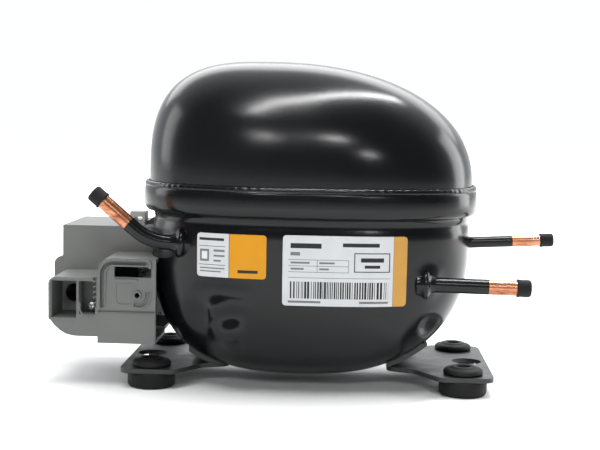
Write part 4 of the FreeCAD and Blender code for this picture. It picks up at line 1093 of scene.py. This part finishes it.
def add_camera():
    """Camera low in front, turned and rolled very slightly."""
    yaw, pitch, roll = CAMERA_YAW, CAMERA_PITCH, CAMERA_ROLL
    ahead = Vector((math.sin(yaw) * math.cos(pitch), math.cos(yaw) * math.cos(pitch),
                    -math.sin(pitch)))
    level = Vector((math.cos(yaw), -math.sin(yaw), 0.0))
    above = level.cross(ahead)
    right = level * math.cos(roll) + above * math.sin(roll)
    up = above * math.cos(roll) - level * math.sin(roll)
    data = bpy.data.cameras.new("camera")
    data.sensor_width = 36.0
    data.lens = CAMERA_LENS
    data.clip_end = 20.0
    item = bpy.data.objects.new("camera", data)
    basis = Matrix((right, up, -ahead)).transposed().to_4x4()
    item.matrix_world = Matrix.Translation(CAMERA_PLACE) @ basis
    bpy.context.scene.collection.objects.link(item)
    bpy.context.scene.camera = item


def add_light(name, place, width, height, power):
    """Soft rectangular light aimed at the middle of the object."""
    data = bpy.data.lights.new(name, "AREA")
    data.shape = "RECTANGLE"
    data.size = width
    data.size_y = height
    data.energy = power
    item = bpy.data.objects.new(name, data)
    item.location = place
    aim = LIGHT_TARGET - Vector(place)
    item.rotation_euler = aim.to_track_quat("-Z", "Y").to_euler()
    bpy.context.scene.collection.objects.link(item)


def build_stage():
    """Pale floor and even white surroundings."""
    world = bpy.data.worlds.new("surroundings")
    world.use_nodes = True
    tree = world.node_tree
    background = tree.nodes["Background"]
    background.inputs["Color"].default_value = (0.95, 0.975, 1.0, 1)
    direction = tree.nodes.new("ShaderNodeTexCoord").outputs["Generated"]
    split = tree.nodes.new("ShaderNodeSeparateXYZ")
    fade = tree.nodes.new("ShaderNodeMapRange")
    fade.interpolation_type = "SMOOTHSTEP"
    fade.inputs["From Min"].default_value = -0.35
    fade.inputs["From Max"].default_value = 0.5
    fade.inputs["To Min"].default_value = 0.1
    fade.inputs["To Max"].default_value = 1.05
    tree.links.new(direction, split.inputs["Vector"])
    tree.links.new(split.outputs["Y"], fade.inputs["Value"])
    tree.links.new(fade.outputs["Result"], background.inputs["Strength"])
    bpy.context.scene.world = world
    bpy.context.scene.view_settings.view_transform = "Standard"
    floor_material = Shader("stage_floor", 0.75)
    tone = floor_material.noise(3.0, 2.0)
    floor_material.colour(floor_material.ramp(tone, [(0.2, (0.9, 0.9, 0.9)),
                                                     (0.8, (0.93, 0.93, 0.93))]))
    reach = floor_material.node("ShaderNodeVectorMath", operation="LENGTH")
    floor_material.link(floor_material.place, reach.inputs[0])
    glow = floor_material.band(reach.outputs["Value"], 0.3, 1.1, 0.0, 0.75)
    floor_material.surface.inputs["Emission Color"].default_value = (1, 1, 1, 1)
    floor_material.link(glow, floor_material.surface.inputs["Emission Strength"])
    mesh = bpy.data.meshes.new("stage_floor")
    side = 6.0
    mesh.from_pydata([(-side, -side, 0), (side, -side, 0), (side, side, 0),
                      (-side, side, 0)], [], [(0, 1, 2, 3)])
    mesh.materials.append(floor_material.material)
    floor = bpy.data.objects.new("stage_floor", mesh)
    bpy.context.scene.collection.objects.link(floor)
    for row in LIGHTS:
        add_light(*row)


# --- Materials of the CAD nodes that keep their shape ---

SLOT_MATERIAL = {
    "rating_film": "film_white",
    "safety_film": "film_orange",
}
NODE_MATERIAL = {
    "cable_clamp": "black_plastic",
    "foot_plate_left": "plate_paint",
    "foot_plate_right": "plate_paint",
}


def dress_frame():
    """Give every CAD node a procedural material, by its slot unless it has its own."""
    for part in frame["record"]["subparts"]:
        slot = part["material_slot"]
        name = NODE_MATERIAL.get(part["node"], SLOT_MATERIAL.get(slot, slot))
        for holder in frame["nodes"][part["node"]].material_slots:
            holder.material = MATERIALS[name]


add_camera()
build_stage()
dress_frame()
build_lower_shell()
build_upper_shell()
build_seam_weld()
build_label("rating_label_film", "rating_label", "rating_film",
            RATING_LAYOUT + striped(4.0, 24.0, 55.0, 33.0, 5))
build_label("safety_label_film", "safety_label", "safety_film", SAFETY_LAYOUT)
build_plumbing()
build_cover()
build_clamp_screw()
build_springs()
